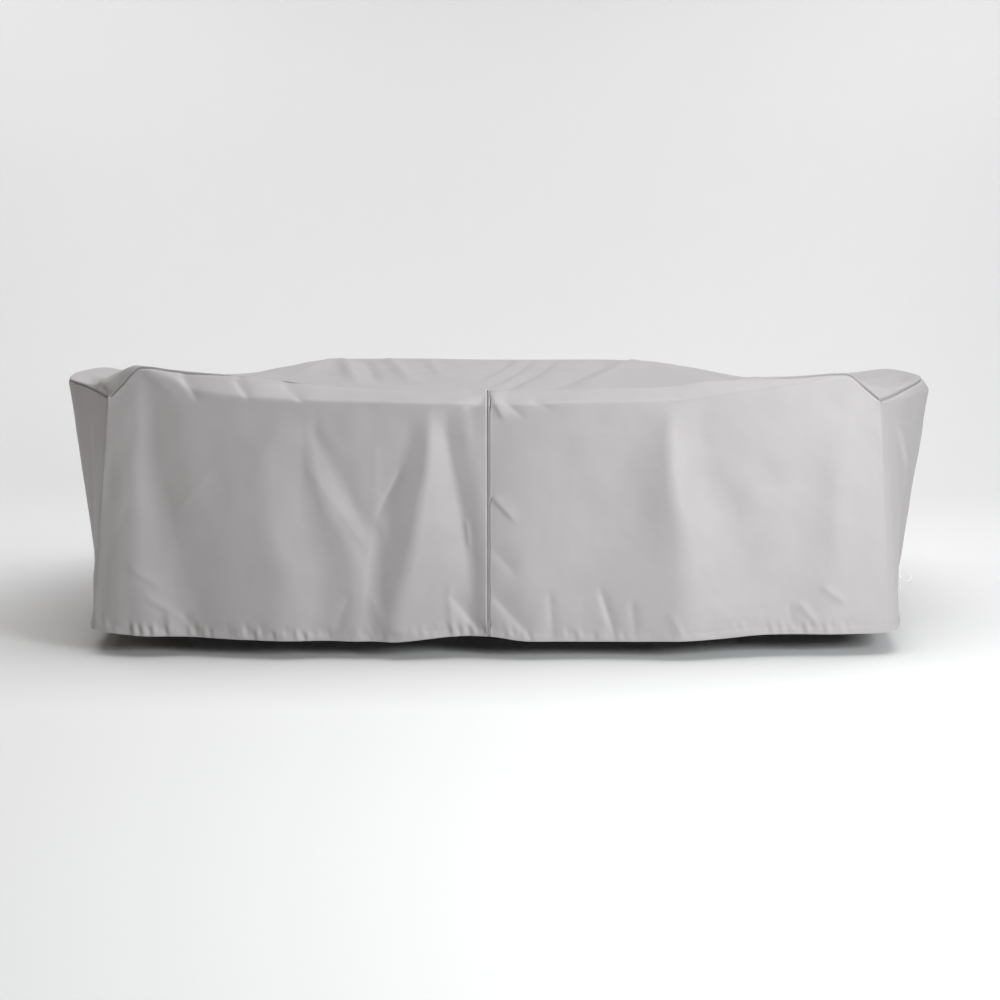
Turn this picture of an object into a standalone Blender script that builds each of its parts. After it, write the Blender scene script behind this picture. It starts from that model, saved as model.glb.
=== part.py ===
"""A fitted cloth cover for patio furniture, as it hangs in use.

Metres, +X to the right, -Y to the front, +Z up. The tables give heights above the ground. The
finished cover is lowered by MOUNT_HEIGHT, so that the origin is under the middle of its top,
where it is carried.

One smooth surface is worked out first: a ring of top seam, a wall that falls from it to a ring of
hem, and a top cloth that sags inside the ring. Each sewn panel is a part of that surface, made
2 mm thick, with its seam edges mitred against the next panel's.
"""

import math

import bpy
import numpy as np

# The cloth, and its overall width and depth at the top
HALF_CLOTH = 0.001
HALF_HEM = 0.0015
WIDTH = 2.50
DEPTH = 2.03

# The height that carries the middle of the top, and the middle of the cloth that lies on it
MOUNT_HEIGHT = 0.764
LOWEST_TOP = MOUNT_HEIGHT + HALF_CLOTH

# How far apart the panels stay: along a straight seam, more where the seam twists, and at the lap
SEAM_GAP = 0.0003
SEAM_TRIM = 0.6 * SEAM_GAP
TWIST_TRIM = 1.2 * HALF_HEM
LEAST_CLEAR = 0.5
LAP = 0.008
LAP_CLEAR = 0.0004

# Where the centre seams are and how finely each panel is divided
CENTRE_SEAM = -0.032
LEFT_COLUMNS = 29
RIGHT_COLUMNS = 21
END_COLUMNS = 30
WALL_ROWS = (0, 0.03, 0.065, 0.1, 0.128, 0.156, 0.22, 0.31, 0.42, 0.54, 0.66, 0.78, 0.89, 0.975, 1)

# The rounding where the cloth bends down, at most this much of the cloth above and below the ridge
ROLL = 0.022
ROLL_SHARE = 0.9
ROLL_BELOW = 1.5
ROLL_LEAST = 0.01
CORNER_DROP = 0.012

# How folds fade near a corner and near a seam, and how the folds of the ends and of the back swell
CORNER_FADE = 0.06
SEAM_FADE = 0.05
FOLD_START = 0.45
FOLD_SWELL = 3

# Corners of the cover: the valley of the top seam, then the hem below it
CORNER_COLUMNS = ("x", "y", "seam", "hem_x", "hem_y", "hem")
CORNERS = {
    "front_left": (-1.191, -1.015, 0.809, -1.262, -1.015, 0.083),
    "front_right": (1.189, -1.015, 0.802, 1.241, -1.015, 0.073),
    "back_left": (-1.200, 1.015, 0.800, -1.255, 1.015, 0.078),
    "back_right": (1.195, 1.015, 0.796, 1.250, 1.015, 0.076),
}

# Walls, a row for each place along the side. out: how far the ridge, where the cloth bends down,
# stands from the middle of the cover. back: how far behind the ridge the top seam runs.
WALL_COLUMNS = ("at", "out", "ridge", "back", "seam", "hem_at", "hem_out", "hem")
FRONT = (
    (-1.150, 1.016, 0.843, 0.003, 0.850, -1.200, 1.035, 0.075),
    (-1.088, 1.018, 0.896, 0.005, 0.902, -1.120, 1.040, 0.070),
    (-1.000, 1.028, 0.868, 0.025, 0.892, -1.030, 1.050, 0.067),
    (-0.910, 1.040, 0.828, 0.042, 0.883, -0.940, 1.062, 0.065),
    (-0.760, 1.055, 0.809, 0.065, 0.870, -0.780, 1.080, 0.062),
    (-0.580, 1.065, 0.801, 0.085, 0.847, -0.600, 1.090, 0.060),
    (-0.330, 1.073, 0.798, 0.095, 0.829, -0.340, 1.100, 0.058),
    (-0.110, 1.076, 0.790, 0.100, 0.827, -0.115, 1.104, 0.074),
    (-0.030, 1.074, 0.787, 0.100, 0.827, -0.030, 1.104, 0.075),
    (0.110, 1.076, 0.791, 0.100, 0.826, 0.110, 1.106, 0.061),
    (0.340, 1.073, 0.797, 0.095, 0.833, 0.350, 1.100, 0.059),
    (0.530, 1.066, 0.800, 0.085, 0.838, 0.550, 1.092, 0.062),
    (0.660, 1.058, 0.814, 0.070, 0.856, 0.690, 1.082, 0.066),
    (0.820, 1.046, 0.833, 0.050, 0.865, 0.850, 1.066, 0.074),
    (0.950, 1.033, 0.856, 0.030, 0.873, 0.990, 1.052, 0.073),
    (1.080, 1.019, 0.877, 0.005, 0.882, 1.120, 1.040, 0.072),
    (1.145, 1.016, 0.832, 0.003, 0.838, 1.195, 1.030, 0.072),
)
LEFT_END = (
    (-0.985, 1.209, 0.808, 0.003, 0.812, -0.985, 1.275, 0.080),
    (-0.730, 1.343, 0.831, 0.003, 0.835, -0.730, 1.330, 0.075),
    (-0.430, 1.490, 0.854, 0.003, 0.858, -0.430, 1.385, 0.070),
    (-0.300, 1.503, 0.867, 0.003, 0.871, -0.300, 1.392, 0.068),
    (0.010, 1.508, 0.879, 0.003, 0.883, 0.010, 1.400, 0.064),
    (0.300, 1.504, 0.864, 0.003, 0.868, 0.300, 1.394, 0.066),
    (0.430, 1.488, 0.853, 0.003, 0.857, 0.430, 1.384, 0.070),
    (0.740, 1.342, 0.826, 0.003, 0.830, 0.740, 1.328, 0.074),
)
RIGHT_END = (
    (-0.985, 1.214, 0.792, 0.010, 0.803, -0.985, 1.274, 0.078),
    (-0.730, 1.366, 0.798, 0.026, 0.824, -0.730, 1.335, 0.075),
    (-0.440, 1.511, 0.822, 0.030, 0.860, -0.440, 1.402, 0.070),
    (-0.300, 1.522, 0.834, 0.030, 0.868, -0.300, 1.410, 0.066),
    (0.030, 1.530, 0.850, 0.026, 0.877, 0.030, 1.418, 0.062),
    (0.330, 1.520, 0.838, 0.024, 0.862, 0.330, 1.408, 0.066),
    (0.480, 1.496, 0.822, 0.022, 0.846, 0.480, 1.390, 0.070),
    (0.760, 1.348, 0.808, 0.014, 0.822, 0.760, 1.326, 0.074),
)
BACK = (
    (-1.126, 1.018, 0.806, 0.010, 0.822, -1.160, 1.030, 0.074),
    (-0.935, 1.030, 0.850, 0.018, 0.875, -0.965, 1.046, 0.068),
    (-0.745, 1.038, 0.880, 0.024, 0.905, -0.770, 1.058, 0.060),
    (-0.400, 1.042, 0.886, 0.026, 0.909, -0.410, 1.064, 0.058),
    (0.030, 1.040, 0.880, 0.026, 0.903, 0.030, 1.062, 0.064),
    (0.400, 1.042, 0.882, 0.026, 0.904, 0.410, 1.064, 0.058),
    (0.655, 1.038, 0.876, 0.024, 0.899, 0.680, 1.058, 0.060),
    (0.840, 1.032, 0.848, 0.020, 0.873, 0.870, 1.048, 0.066),
    (0.936, 1.028, 0.834, 0.016, 0.855, 0.965, 1.042, 0.068),
    (1.130, 1.018, 0.804, 0.010, 0.818, 1.160, 1.030, 0.074),
)

# Folds of the front, from left to right: the line of each crest and valley at three heights, how
# far the cloth stands out there, and how far from the line its slopes round off.
TRACK_HEIGHTS = (0.06, 0.41, 0.72)
TRACK_COLUMNS = ("foot_at", "mid_at", "top_at", "foot", "mid", "top", "round")
FRONT_TRACKS = (
    (-1.230, -1.210, -1.200, 0.000, 0.000, 0.000, 0.020),
    (-1.085, -1.100, -1.097, 0.014, 0.009, 0.003, 0.016),
    (-0.945, -1.026, -1.066, -0.012, -0.004, -0.001, 0.030),
    (-0.790, -0.900, -0.990, 0.002, 0.003, 0.002, 0.060),
    (-0.700, -0.760, -0.850, 0.000, -0.004, 0.000, 0.060),
    (-0.645, -0.712, -0.640, 0.008, 0.000, 0.003, 0.030),
    (-0.545, -0.560, -0.545, -0.008, -0.013, -0.001, 0.030),
    (-0.450, -0.485, -0.500, 0.002, -0.004, 0.001, 0.022),
    (-0.375, -0.350, -0.262, -0.018, -0.018, -0.004, 0.028),
    (-0.272, -0.216, -0.198, 0.012, 0.014, 0.005, 0.018),
    (-0.125, -0.112, -0.143, -0.010, -0.010, -0.006, 0.016),
    (-0.095, -0.070, -0.080, 0.002, -0.004, 0.001, 0.014),
    (-0.024, -0.024, -0.024, 0.006, 0.006, 0.002, 0.010),
    (0.100, 0.100, 0.100, -0.002, 0.000, 0.000, 0.030),
    (0.270, 0.385, 0.478, -0.010, -0.010, -0.002, 0.060),
    (0.620, 0.538, 0.526, 0.014, 0.012, 0.006, 0.030),
    (0.820, 0.695, 0.585, -0.006, -0.006, -0.003, 0.040),
    (0.850, 0.826, 0.720, 0.000, 0.002, 0.000, 0.040),
    (0.930, 0.985, 0.960, -0.002, 0.002, 0.001, 0.040),
    (1.050, 1.070, 1.095, 0.008, 0.007, 0.003, 0.024),
    (1.120, 1.128, 1.146, 0.001, 0.001, 0.001, 0.020),
    (1.235, 1.215, 1.200, 0.000, 0.000, 0.000, 0.020),
)

# Folds of the other walls, from a soft start at the top to the foot. half: half the fold's width.
# depth: how far it stands out of the wall, or with a minus sets back into it.
FOLD_COLUMNS = ("top_at", "top", "foot_at", "foot", "top_half", "foot_half", "depth")
LEFT_FOLDS = (
    (-0.780, 0.76, -0.640, 0.05, 0.040, 0.080, -0.014),
    (-0.430, 0.85, -0.400, 0.05, 0.040, 0.080, 0.008),
    (-0.250, 0.78, -0.180, 0.05, 0.040, 0.080, -0.018),
    (-0.020, 0.70, 0.020, 0.05, 0.050, 0.090, 0.012),
    (0.240, 0.78, 0.180, 0.05, 0.035, 0.080, -0.016),
    (0.420, 0.84, 0.380, 0.05, 0.040, 0.080, 0.018),
    (0.760, 0.76, 0.640, 0.05, 0.040, 0.080, -0.012),
)
RIGHT_FOLDS = (
    (-0.760, 0.74, -0.620, 0.05, 0.035, 0.070, -0.012),
    (-0.440, 0.82, -0.420, 0.05, 0.040, 0.080, 0.005),
    (-0.220, 0.76, -0.240, 0.05, 0.035, 0.070, -0.014),
    (0.060, 0.72, 0.000, 0.05, 0.045, 0.090, 0.014),
    (0.300, 0.76, 0.230, 0.05, 0.040, 0.080, -0.016),
    (0.480, 0.82, 0.450, 0.05, 0.035, 0.080, 0.016),
    (0.780, 0.74, 0.660, 0.05, 0.040, 0.080, -0.012),
)
BACK_FOLDS = (
    (-0.960, 0.80, -1.000, 0.05, 0.030, 0.060, -0.012),
    (-0.745, 0.87, -0.860, 0.05, 0.030, 0.080, 0.020),
    (-0.560, 0.80, -0.560, 0.05, 0.040, 0.090, -0.018),
    (-0.300, 0.82, -0.330, 0.05, 0.035, 0.070, 0.014),
    (-0.080, 0.80, -0.120, 0.05, 0.030, 0.060, -0.012),
    (0.240, 0.82, 0.260, 0.05, 0.035, 0.080, -0.016),
    (0.440, 0.80, 0.470, 0.05, 0.030, 0.070, 0.015),
    (0.655, 0.87, 0.740, 0.05, 0.030, 0.080, 0.020),
    (0.880, 0.80, 0.960, 0.05, 0.035, 0.070, -0.014),
)

# Folds of the top cloth, from one place of it to another
TOP_FOLD_COLUMNS = ("from_x", "from_y", "to_x", "to_y", "half", "depth")
TOP_FOLDS = (
    (-0.740, 0.95, -0.880, 0.45, 0.040, 0.012),
    (-0.690, 0.95, -0.560, 0.35, 0.035, 0.014),
    (-0.590, 0.95, -0.470, 0.35, 0.030, -0.010),
    (-0.480, 0.95, -0.330, 0.35, 0.035, 0.012),
    (-0.300, 0.95, -0.220, 0.50, 0.030, 0.009),
    (0.060, 0.96, -0.100, 0.45, 0.028, -0.012),
    (0.160, 0.96, -0.060, 0.25, 0.028, -0.012),
    (0.260, 0.96, 0.000, 0.15, 0.035, -0.013),
    (0.520, 0.96, 0.160, 0.15, 0.045, -0.014),
    (0.620, 0.96, 0.330, 0.25, 0.040, 0.013),
    (-1.440, -0.36, -1.205, -0.93, 0.030, -0.020),
    (1.440, -0.36, 1.205, -0.93, 0.035, -0.014),
    (-1.420, 0.40, -1.190, 0.92, 0.040, -0.016),
    (1.420, 0.42, 1.190, 0.92, 0.040, -0.016),
    (-0.950, -0.94, -0.450, -0.30, 0.060, 0.012),
    (0.950, -0.94, 0.480, -0.25, 0.060, 0.012),
    (-1.000, 0.90, -1.250, 0.20, 0.110, -0.012),
    (0.980, 0.90, 1.250, 0.10, 0.120, -0.030),
)
# The low waves of the slack cloth where the top lies, and how far apart they are along x and y
SLACK = 0.002
SLACK_WAVES = (0.83, 0.57)
# The shares of a top fold's length over which it starts and ends
TOP_FOLD_START = (0.15, 4)
TOP_FOLD_END = (0.6, 2.2)

# How far in from each side the top cloth has sagged to its lowest, and the power of its fall
FRONT_SLOPE = (0.55, 1.6)
BACK_SLOPE = (1.00, 1.15)
END_SLOPE = (0.60, 1.4)

# The tie, low at the right front corner, sewn on at its knot. Its routes are from the knot's
# middle: outwards from the cloth, along it towards the front, and up.
TIE_THICK = 0.003
TIE_STEP = 2.2 * TIE_THICK
TIE_AT = -0.900
TIE_HEIGHT = 0.230
KNOT_SIZE = (0.010, 0.011, 0.009)
KNOT_LOBES = 3
KNOT_LOBE = 0.06
TIE_ROUTES = {
    "tie_loop_right": (
        (0.0056, 0.000, 0.0018),
        (0.0140, -0.001, 0.0060),
        (0.0250, -0.001, 0.0085),
        (0.0340, 0.000, 0.0060),
        (0.0350, 0.002, 0.0000),
        (0.0270, 0.003, -0.0045),
        (0.0150, 0.002, -0.0045),
        (0.0056, 0.000, -0.0018),
    ),
    "tie_loop_left": (
        (-0.0005, 0.0062, 0.0020),
        (-0.0015, 0.0120, 0.0045),
        (-0.0020, 0.0190, 0.0040),
        (-0.0020, 0.0220, 0.0000),
        (-0.0020, 0.0180, -0.0035),
        (-0.0015, 0.0120, -0.0035),
        (-0.0005, 0.0062, -0.0018),
    ),
    "tie_end_right": (
        (0.0035, 0.0015, -0.0055),
        (0.0100, 0.0040, -0.0095),
        (0.0200, 0.0050, -0.0125),
        (0.0290, 0.0040, -0.0105),
        (0.0370, 0.0030, -0.0090),
    ),
    "tie_end_down": (
        (-0.0010, 0.0000, -0.0064),
        (0.0000, 0.0010, -0.0140),
        (0.0025, 0.0020, -0.0240),
        (0.0010, 0.0020, -0.0340),
        (0.0030, 0.0010, -0.0430),
    ),
}

CLOTH_COLOUR = (0.50, 0.485, 0.475, 1)
CLOTH_ROUGHNESS = 0.62
TIE_COLOUR = (0.86, 0.86, 0.85, 1)
TIE_ROUGHNESS = 0.7


def clear_scene():
    for obj in list(bpy.data.objects):
        bpy.data.objects.remove(obj, do_unlink=True)


def material(name, colour, roughness):
    made = bpy.data.materials.new(name)
    made.use_nodes = True
    shader = made.node_tree.nodes["Principled BSDF"]
    shader.inputs["Base Color"].default_value = colour
    shader.inputs["Roughness"].default_value = roughness
    shader.inputs["Metallic"].default_value = 0
    return made


# Curves and surfaces


def curve_through(places, values, at):
    """A smooth curve through the values that never overshoots them, read at the places `at`."""
    steps = np.diff(places)
    slopes = np.diff(values) / steps
    product = slopes[:-1] * slopes[1:]
    total = slopes[:-1] + slopes[1:]
    turning = product <= 0
    inner = np.where(turning, 0, 2 * product / np.where(turning, 1, total))
    tangents = np.concatenate([slopes[:1], inner, slopes[-1:]])
    i = np.clip(np.searchsorted(places, at) - 1, 0, len(steps) - 1)
    t = (at - places[i]) / steps[i]
    rise = values[i + 1] - values[i]
    start, end = tangents[i] * steps[i], tangents[i + 1] * steps[i]
    return values[i] + t * start + t**2 * (3 * rise - 2 * start - end) + t**3 * (start + end - 2 * rise)


def ease(t):
    t = np.clip(t, 0, 1)
    return t * t * (3 - 2 * t)


class Side:
    """One side of the cover: its table, its folds, its two corners and the way it faces.

    The front has no list of folds, because it takes them from FRONT_TRACKS."""

    def __init__(self, table, folds, along, outward, first, last):
        self.folds = folds
        self.along = np.array(along, float)
        self.outward = np.array(outward, float)
        rows = [self.corner_row(first), *table, self.corner_row(last)]
        self.columns = dict(zip(WALL_COLUMNS, np.array(rows, float).T))

    def corner_row(self, name):
        """A corner as a row of the table. Its ridge lies on the straight line down to its hem."""
        corner = dict(zip(CORNER_COLUMNS, CORNERS[name]))
        seam = np.array([corner["x"], corner["y"], 0])
        hem = np.array([corner["hem_x"], corner["hem_y"], 0])
        share = CORNER_DROP / (corner["seam"] - corner["hem"])
        out = (seam + share * (hem - seam)) @ self.outward
        ridge = corner["seam"] - CORNER_DROP
        back = out - seam @ self.outward
        return (
            seam @ self.along, out, ridge, back, corner["seam"],
            hem @ self.along, hem @ self.outward, corner["hem"],
        )  # fmt: skip

    def read(self, column, at):
        return curve_through(self.columns["at"], self.columns[column], at)

    def place(self, at, out, height):
        return at[:, None] * self.along + out[:, None] * self.outward + height[:, None] * (0, 0, 1)

    def levels(self, at):
        """The seam, ridge and hem points below each other at the places `at`."""
        out, ridge, back = self.read("out", at), self.read("ridge", at), self.read("back", at)
        top, hem, hem_at = self.read("seam", at), self.read("hem", at), self.read("hem_at", at)
        share = (top - ridge) / (top - hem)
        seam_point = self.place(at, out - back, top)
        ridge_point = self.place(at + share * (hem_at - at), out, ridge)
        hem_point = self.place(hem_at, self.read("hem_out", at), hem)
        return seam_point, ridge_point, hem_point


def fold_depth(folds, at, height):
    """How far soft folds move a wall outwards, at each place and height."""
    depth = np.zeros_like(at)
    for row in folds:
        fold = dict(zip(FOLD_COLUMNS, row))
        fall = (fold["top"] - height) / (fold["top"] - fold["foot"])
        reach = np.clip(fall, 0, 1)
        middle = fold["top_at"] + reach * (fold["foot_at"] - fold["top_at"])
        half = fold["top_half"] + reach * (fold["foot_half"] - fold["top_half"])
        swell = ease(fall * FOLD_SWELL) * (FOLD_START + (1 - FOLD_START) * reach)
        depth += fold["depth"] * swell * np.exp(-(((at - middle) / half) ** 2))
    return depth


def track_depth(tracks, at, height):
    """How far the cloth stands out between crest and valley lines: even slopes, rounded at each."""
    heights = np.array(TRACK_HEIGHTS)
    lines = []
    for row in tracks:
        track = dict(zip(TRACK_COLUMNS, row))
        places = np.array([track["foot_at"], track["mid_at"], track["top_at"]])
        depths = np.array([track["foot"], track["mid"], track["top"]])
        level = np.clip(height, heights[0], heights[-1])
        line, value = curve_through(heights, places, level), curve_through(heights, depths, level)
        lines.append((line, value, track["round"]))
    slopes = [(b[1] - a[1]) / (b[0] - a[0]) for a, b in zip(lines[:-1], lines[1:])]
    depth = np.zeros_like(at)
    for (place, value, _), (after, _, _), slope in zip(lines[:-1], lines[1:], slopes):
        depth = np.where((at >= place) & (at < after), value + slope * (at - place), depth)
    for (place, _, soft), left, right in zip(lines[1:-1], slopes[:-1], slopes[1:]):
        near = np.clip(soft - np.abs(at - place), 0, None)
        depth += (right - left) * near**2 / (4 * soft)
    return depth


def rounded_profile(seam, ridge, hem, shares):
    """Points at these shares of each cloth length from seam to hem, over a rounded ridge."""
    first, second = ridge - seam, hem - ridge
    first_long = np.linalg.norm(first, axis=1)[:, None]
    second_long = np.linalg.norm(second, axis=1)[:, None]
    cut_above = np.minimum(ROLL, ROLL_SHARE * first_long)
    cut_below = np.minimum(ROLL, ROLL_BELOW * cut_above + ROLL_LEAST)
    start = ridge - first / first_long * cut_above
    end = ridge + second / second_long * cut_below
    fine = [seam + t * (start - seam) for t in np.linspace(0, 1, 5)[:-1]]
    for t in np.linspace(0, 1, 12):
        fine.append((1 - t) ** 2 * start + 2 * t * (1 - t) * ridge + t**2 * end)
    fine += [end + t * (hem - end) for t in np.linspace(0, 1, 9)[1:]]
    fine = np.stack(fine, axis=1)
    steps = np.linalg.norm(np.diff(fine, axis=1), axis=2)
    lengths = np.concatenate([np.zeros((len(fine), 1)), np.cumsum(steps, axis=1)], axis=1)
    grid = np.empty((len(fine), len(shares), 3))
    for i, (points, length) in enumerate(zip(fine, lengths)):
        for axis in range(3):
            grid[i, :, axis] = np.interp(np.array(shares) * length[-1], length, points[:, axis])
    return grid


def grid_normals(grid, outward):
    """Unit normals of a grid of points, on the side that `outward` points to."""
    normals = np.cross(np.gradient(grid, axis=0), np.gradient(grid, axis=1))
    normals /= np.linalg.norm(normals, axis=2)[:, :, None]
    return normals * np.sign((normals * outward).sum(axis=2))[:, :, None]


UPWARD_LEAN = (0, 0, 0.3)


def wall_grid(side, at, shares):
    """The wall below the seam, with its folds. They fade out at the corners and at the seam."""
    grid = rounded_profile(*side.levels(at), shares)
    normals = grid_normals(grid, side.outward + UPWARD_LEAN)
    places = grid @ side.along
    from_corner = np.minimum(at - at[0], at[-1] - at)[:, None]
    from_seam = side.read("seam", at)[:, None] - grid[:, :, 2]
    fade = ease(from_corner / CORNER_FADE) * ease(from_seam / SEAM_FADE)
    if side.folds is None:
        depth = track_depth(FRONT_TRACKS, places, grid[:, :, 2])
    else:
        depth = fold_depth(side.folds, places, grid[:, :, 2])
    return grid + normals * (depth * fade)[:, :, None]


def sag(distance, slope):
    """1 at the seam, falling to 0 where the cloth has come down to its lowest."""
    length, power = slope
    return np.clip(1 - distance / length, 0, 1) ** power


def top_grid(front, back, left, right, across, along):
    """The top cloth between its four seams, sagging to LOWEST_TOP, with its folds."""
    u = ((across - across[0]) / (across[-1] - across[0]))[:, None, None]
    v = ((along - along[0]) / (along[-1] - along[0]))[None, :, None]
    front_edge, back_edge = front[:, None], back[:, None]
    left_edge, right_edge = left[None], right[None]
    corners = (front[0], front[-1], back[0], back[-1])
    flat = (1 - v) * front_edge + v * back_edge + (1 - u) * left_edge + u * right_edge
    flat = flat - (1 - u) * (1 - v) * corners[0] - u * (1 - v) * corners[1]
    flat = flat - (1 - u) * v * corners[2] - u * v * corners[3]
    from_front, from_back = sag(v * DEPTH, FRONT_SLOPE), sag((1 - v) * DEPTH, BACK_SLOPE)
    from_left, from_right = sag(u * WIDTH, END_SLOPE), sag((1 - u) * WIDTH, END_SLOPE)
    rise = np.zeros_like(flat[:, :, :1])
    for share, edge in (
        (from_front, front_edge), (from_back, back_edge), (from_left, left_edge), (from_right, right_edge),
    ):  # fmt: skip
        rise = rise + share * (edge[:, :, 2:] - LOWEST_TOP)
    for share, other, corner in (
        (from_front, from_left, corners[0]), (from_front, from_right, corners[1]),
        (from_back, from_left, corners[2]), (from_back, from_right, corners[3]),
    ):  # fmt: skip
        rise = rise - share * other * (corner[2] - LOWEST_TOP)
    grid = np.concatenate([flat[:, :, :2], LOWEST_TOP + rise], axis=2)
    inside = np.minimum(np.minimum(u, 1 - u) * WIDTH, np.minimum(v, 1 - v) * DEPTH)[:, :, 0]
    lift = top_fold_depth(grid[:, :, 0], grid[:, :, 1]) + slack(grid[:, :, 0], grid[:, :, 1])
    grid[:, :, 2] += lift * ease(inside / SEAM_FADE)
    return grid


def slack(x, y):
    """Low uneven waves, never below the cloth's lowest."""
    long, wide = SLACK_WAVES
    first = np.sin(math.tau * (x / long + 0.4 * y / wide))
    second = np.sin(math.tau * (y / wide - 0.3 * x / long) + 1)
    return SLACK * (1 + first * second)


def top_fold_depth(x, y):
    """How far the folds of the top cloth lift or lower it at each place."""
    early, quick_start = TOP_FOLD_START
    late, quick_end = TOP_FOLD_END
    depth = np.zeros_like(x)
    for row in TOP_FOLDS:
        fold = dict(zip(TOP_FOLD_COLUMNS, row))
        start = np.array([fold["from_x"], fold["from_y"]])
        run = np.array([fold["to_x"], fold["to_y"]]) - start
        long = math.hypot(*run)
        share = ((x - start[0]) * run[0] + (y - start[1]) * run[1]) / long**2
        aside = ((x - start[0]) * run[1] - (y - start[1]) * run[0]) / long
        swell = ease((share + early) * quick_start) * (1 - ease((share - late) * quick_end))
        depth += fold["depth"] * swell * np.exp(-((aside / fold["half"]) ** 2))
    return depth


# Panels. Points closer than a hundredth of a millimetre are one point of a seam.

SAME_POINT = 1e5
LEAST_SPREAD = 0.6
SHARP = math.radians(50)
FIRST_COLUMN, LAST_COLUMN = (0, slice(None)), (-1, slice(None))
FIRST_ROW, LAST_ROW = (slice(None), 0), (slice(None), -1)
RING = (FIRST_COLUMN, LAST_COLUMN, FIRST_ROW, LAST_ROW)
WALL_SEAMS = RING[:3]


def welded_normals(grids):
    """Vertex normals of all the panels together, so that two panels share them along a seam."""
    before, after = slice(0, -1), slice(1, None)
    sums = {}
    keys = {}
    for name, (grid, up) in grids.items():
        normals = np.zeros_like(grid)
        a, b = grid[:-1, :-1], grid[1:, :-1]
        c, d = grid[1:, 1:], grid[:-1, 1:]
        faces = np.cross(c - a, d - b) * up
        for corner in ((before, before), (after, before), (after, after), (before, after)):
            normals[corner] += faces
        keys[name] = [tuple(key) for key in np.round(grid.reshape(-1, 3) * SAME_POINT).astype(int)]
        for key, normal in zip(keys[name], normals.reshape(-1, 3)):
            sums[key] = sums.get(key, 0) + normal / np.linalg.norm(normal)
    shared = {}
    for name, (grid, _) in grids.items():
        normals = np.array([sums[key] for key in keys[name]])
        normals /= np.linalg.norm(normals, axis=1)[:, None]
        shared[name] = normals.reshape(grid.shape)
    return shared


def trimmed_edges(grid, normals, seams):
    """The grid with each sewn edge drawn back, so that panels stay SEAM_GAP apart."""
    trimmed = grid.copy()
    inner_lines = ((1, slice(None)), (-2, slice(None)), (slice(None), 1), (slice(None), -2))
    for edge, inner in zip(RING, inner_lines):
        if edge not in seams:
            continue
        inwards = grid[inner] - grid[edge]
        inwards /= np.linalg.norm(inwards, axis=1)[:, None]
        lean = (inwards * normals[edge]).sum(axis=1)
        clear = np.clip(np.sqrt(1 - np.clip(lean**2, 0, 1)), LEAST_CLEAR, 1)
        turn = np.linalg.norm(np.diff(normals[edge], axis=0), axis=1)
        twist = np.maximum(np.append(turn, 0), np.insert(turn, 0, 0))
        trimmed[edge] += inwards * ((SEAM_TRIM + TWIST_TRIM * twist) / clear)[:, None]
    return trimmed


def triangles_of(middle):
    """Two triangles for each cell of a grid, split along its shorter diagonal."""
    columns, rows = middle.shape[:2]
    index = np.arange(columns * rows).reshape(columns, rows)
    corners = (index[:-1, :-1], index[1:, :-1], index[1:, 1:], index[:-1, 1:])
    a, b, c, d = (corner.ravel() for corner in corners)
    points = middle.reshape(-1, 3)
    falling = np.linalg.norm(points[c] - points[a], axis=1)
    rising = np.linalg.norm(points[d] - points[b], axis=1)
    split = (falling <= rising)[:, None]
    first = np.where(split, np.stack([a, b, c], axis=1), np.stack([a, b, d], axis=1))
    second = np.where(split, np.stack([a, c, d], axis=1), np.stack([b, c, d], axis=1))
    return index, np.concatenate([first, second])


def panel(name, grid, normals, up, seams=WALL_SEAMS, hem=True, lapped=None):
    """A closed sheet: the grid moved out and in by half its thickness, and joined round its rim."""
    own = grid_normals(grid, normals.mean(axis=(0, 1)))
    spread = 1 / np.clip((own * normals).sum(axis=2), LEAST_SPREAD, 1)
    half = np.full(grid.shape[:2], HALF_CLOTH)
    if hem:
        half[:, -2:] = HALF_HEM
    half = (half * spread)[:, :, None]
    middle = trimmed_edges(grid, normals, seams)
    if lapped is not None:
        middle = middle + normals * (2 * half + LAP_CLEAR) * lapped[:, None, None]
    points = np.stack([middle + normals * half, middle - normals * half]).reshape(-1, 3)
    points[:, 2] -= MOUNT_HEIGHT
    index, cells = triangles_of(middle)
    rim = np.concatenate([index[:, 0], index[-1, 1:], index[-2::-1, -1], index[0, -2:0:-1]])
    after = np.roll(rim, -1)
    below = index.size
    across_rim = np.stack([rim, rim + below, after + below], axis=1)
    along_rim = np.stack([rim, after + below, after], axis=1)
    faces = np.concatenate([cells, cells[:, ::-1] + below, across_rim, along_rim])
    if up < 0:
        faces = faces[:, ::-1]
    mesh = bpy.data.meshes.new(name)
    mesh.from_pydata(points.tolist(), [], faces.tolist())
    mesh.update()
    mesh.shade_smooth()
    mesh.set_sharp_from_angle(angle=SHARP)
    mesh.materials.append(material(name + "_cloth", CLOTH_COLOUR, CLOTH_ROUGHNESS))
    bpy.context.scene.collection.objects.link(bpy.data.objects.new(name, mesh))


def across(side):
    """Places along a long wall, closer together at the lap of the centre seam."""
    start, end = side.columns["at"][0], side.columns["at"][-1]
    west = np.linspace(start, CENTRE_SEAM, LEFT_COLUMNS + 1)
    east = np.linspace(CENTRE_SEAM + LAP, end, RIGHT_COLUMNS + 1)
    return np.concatenate([west, east])


def lengthways(side):
    """Places along an end wall."""
    return np.linspace(side.columns["at"][0], side.columns["at"][-1], END_COLUMNS + 1)


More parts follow.
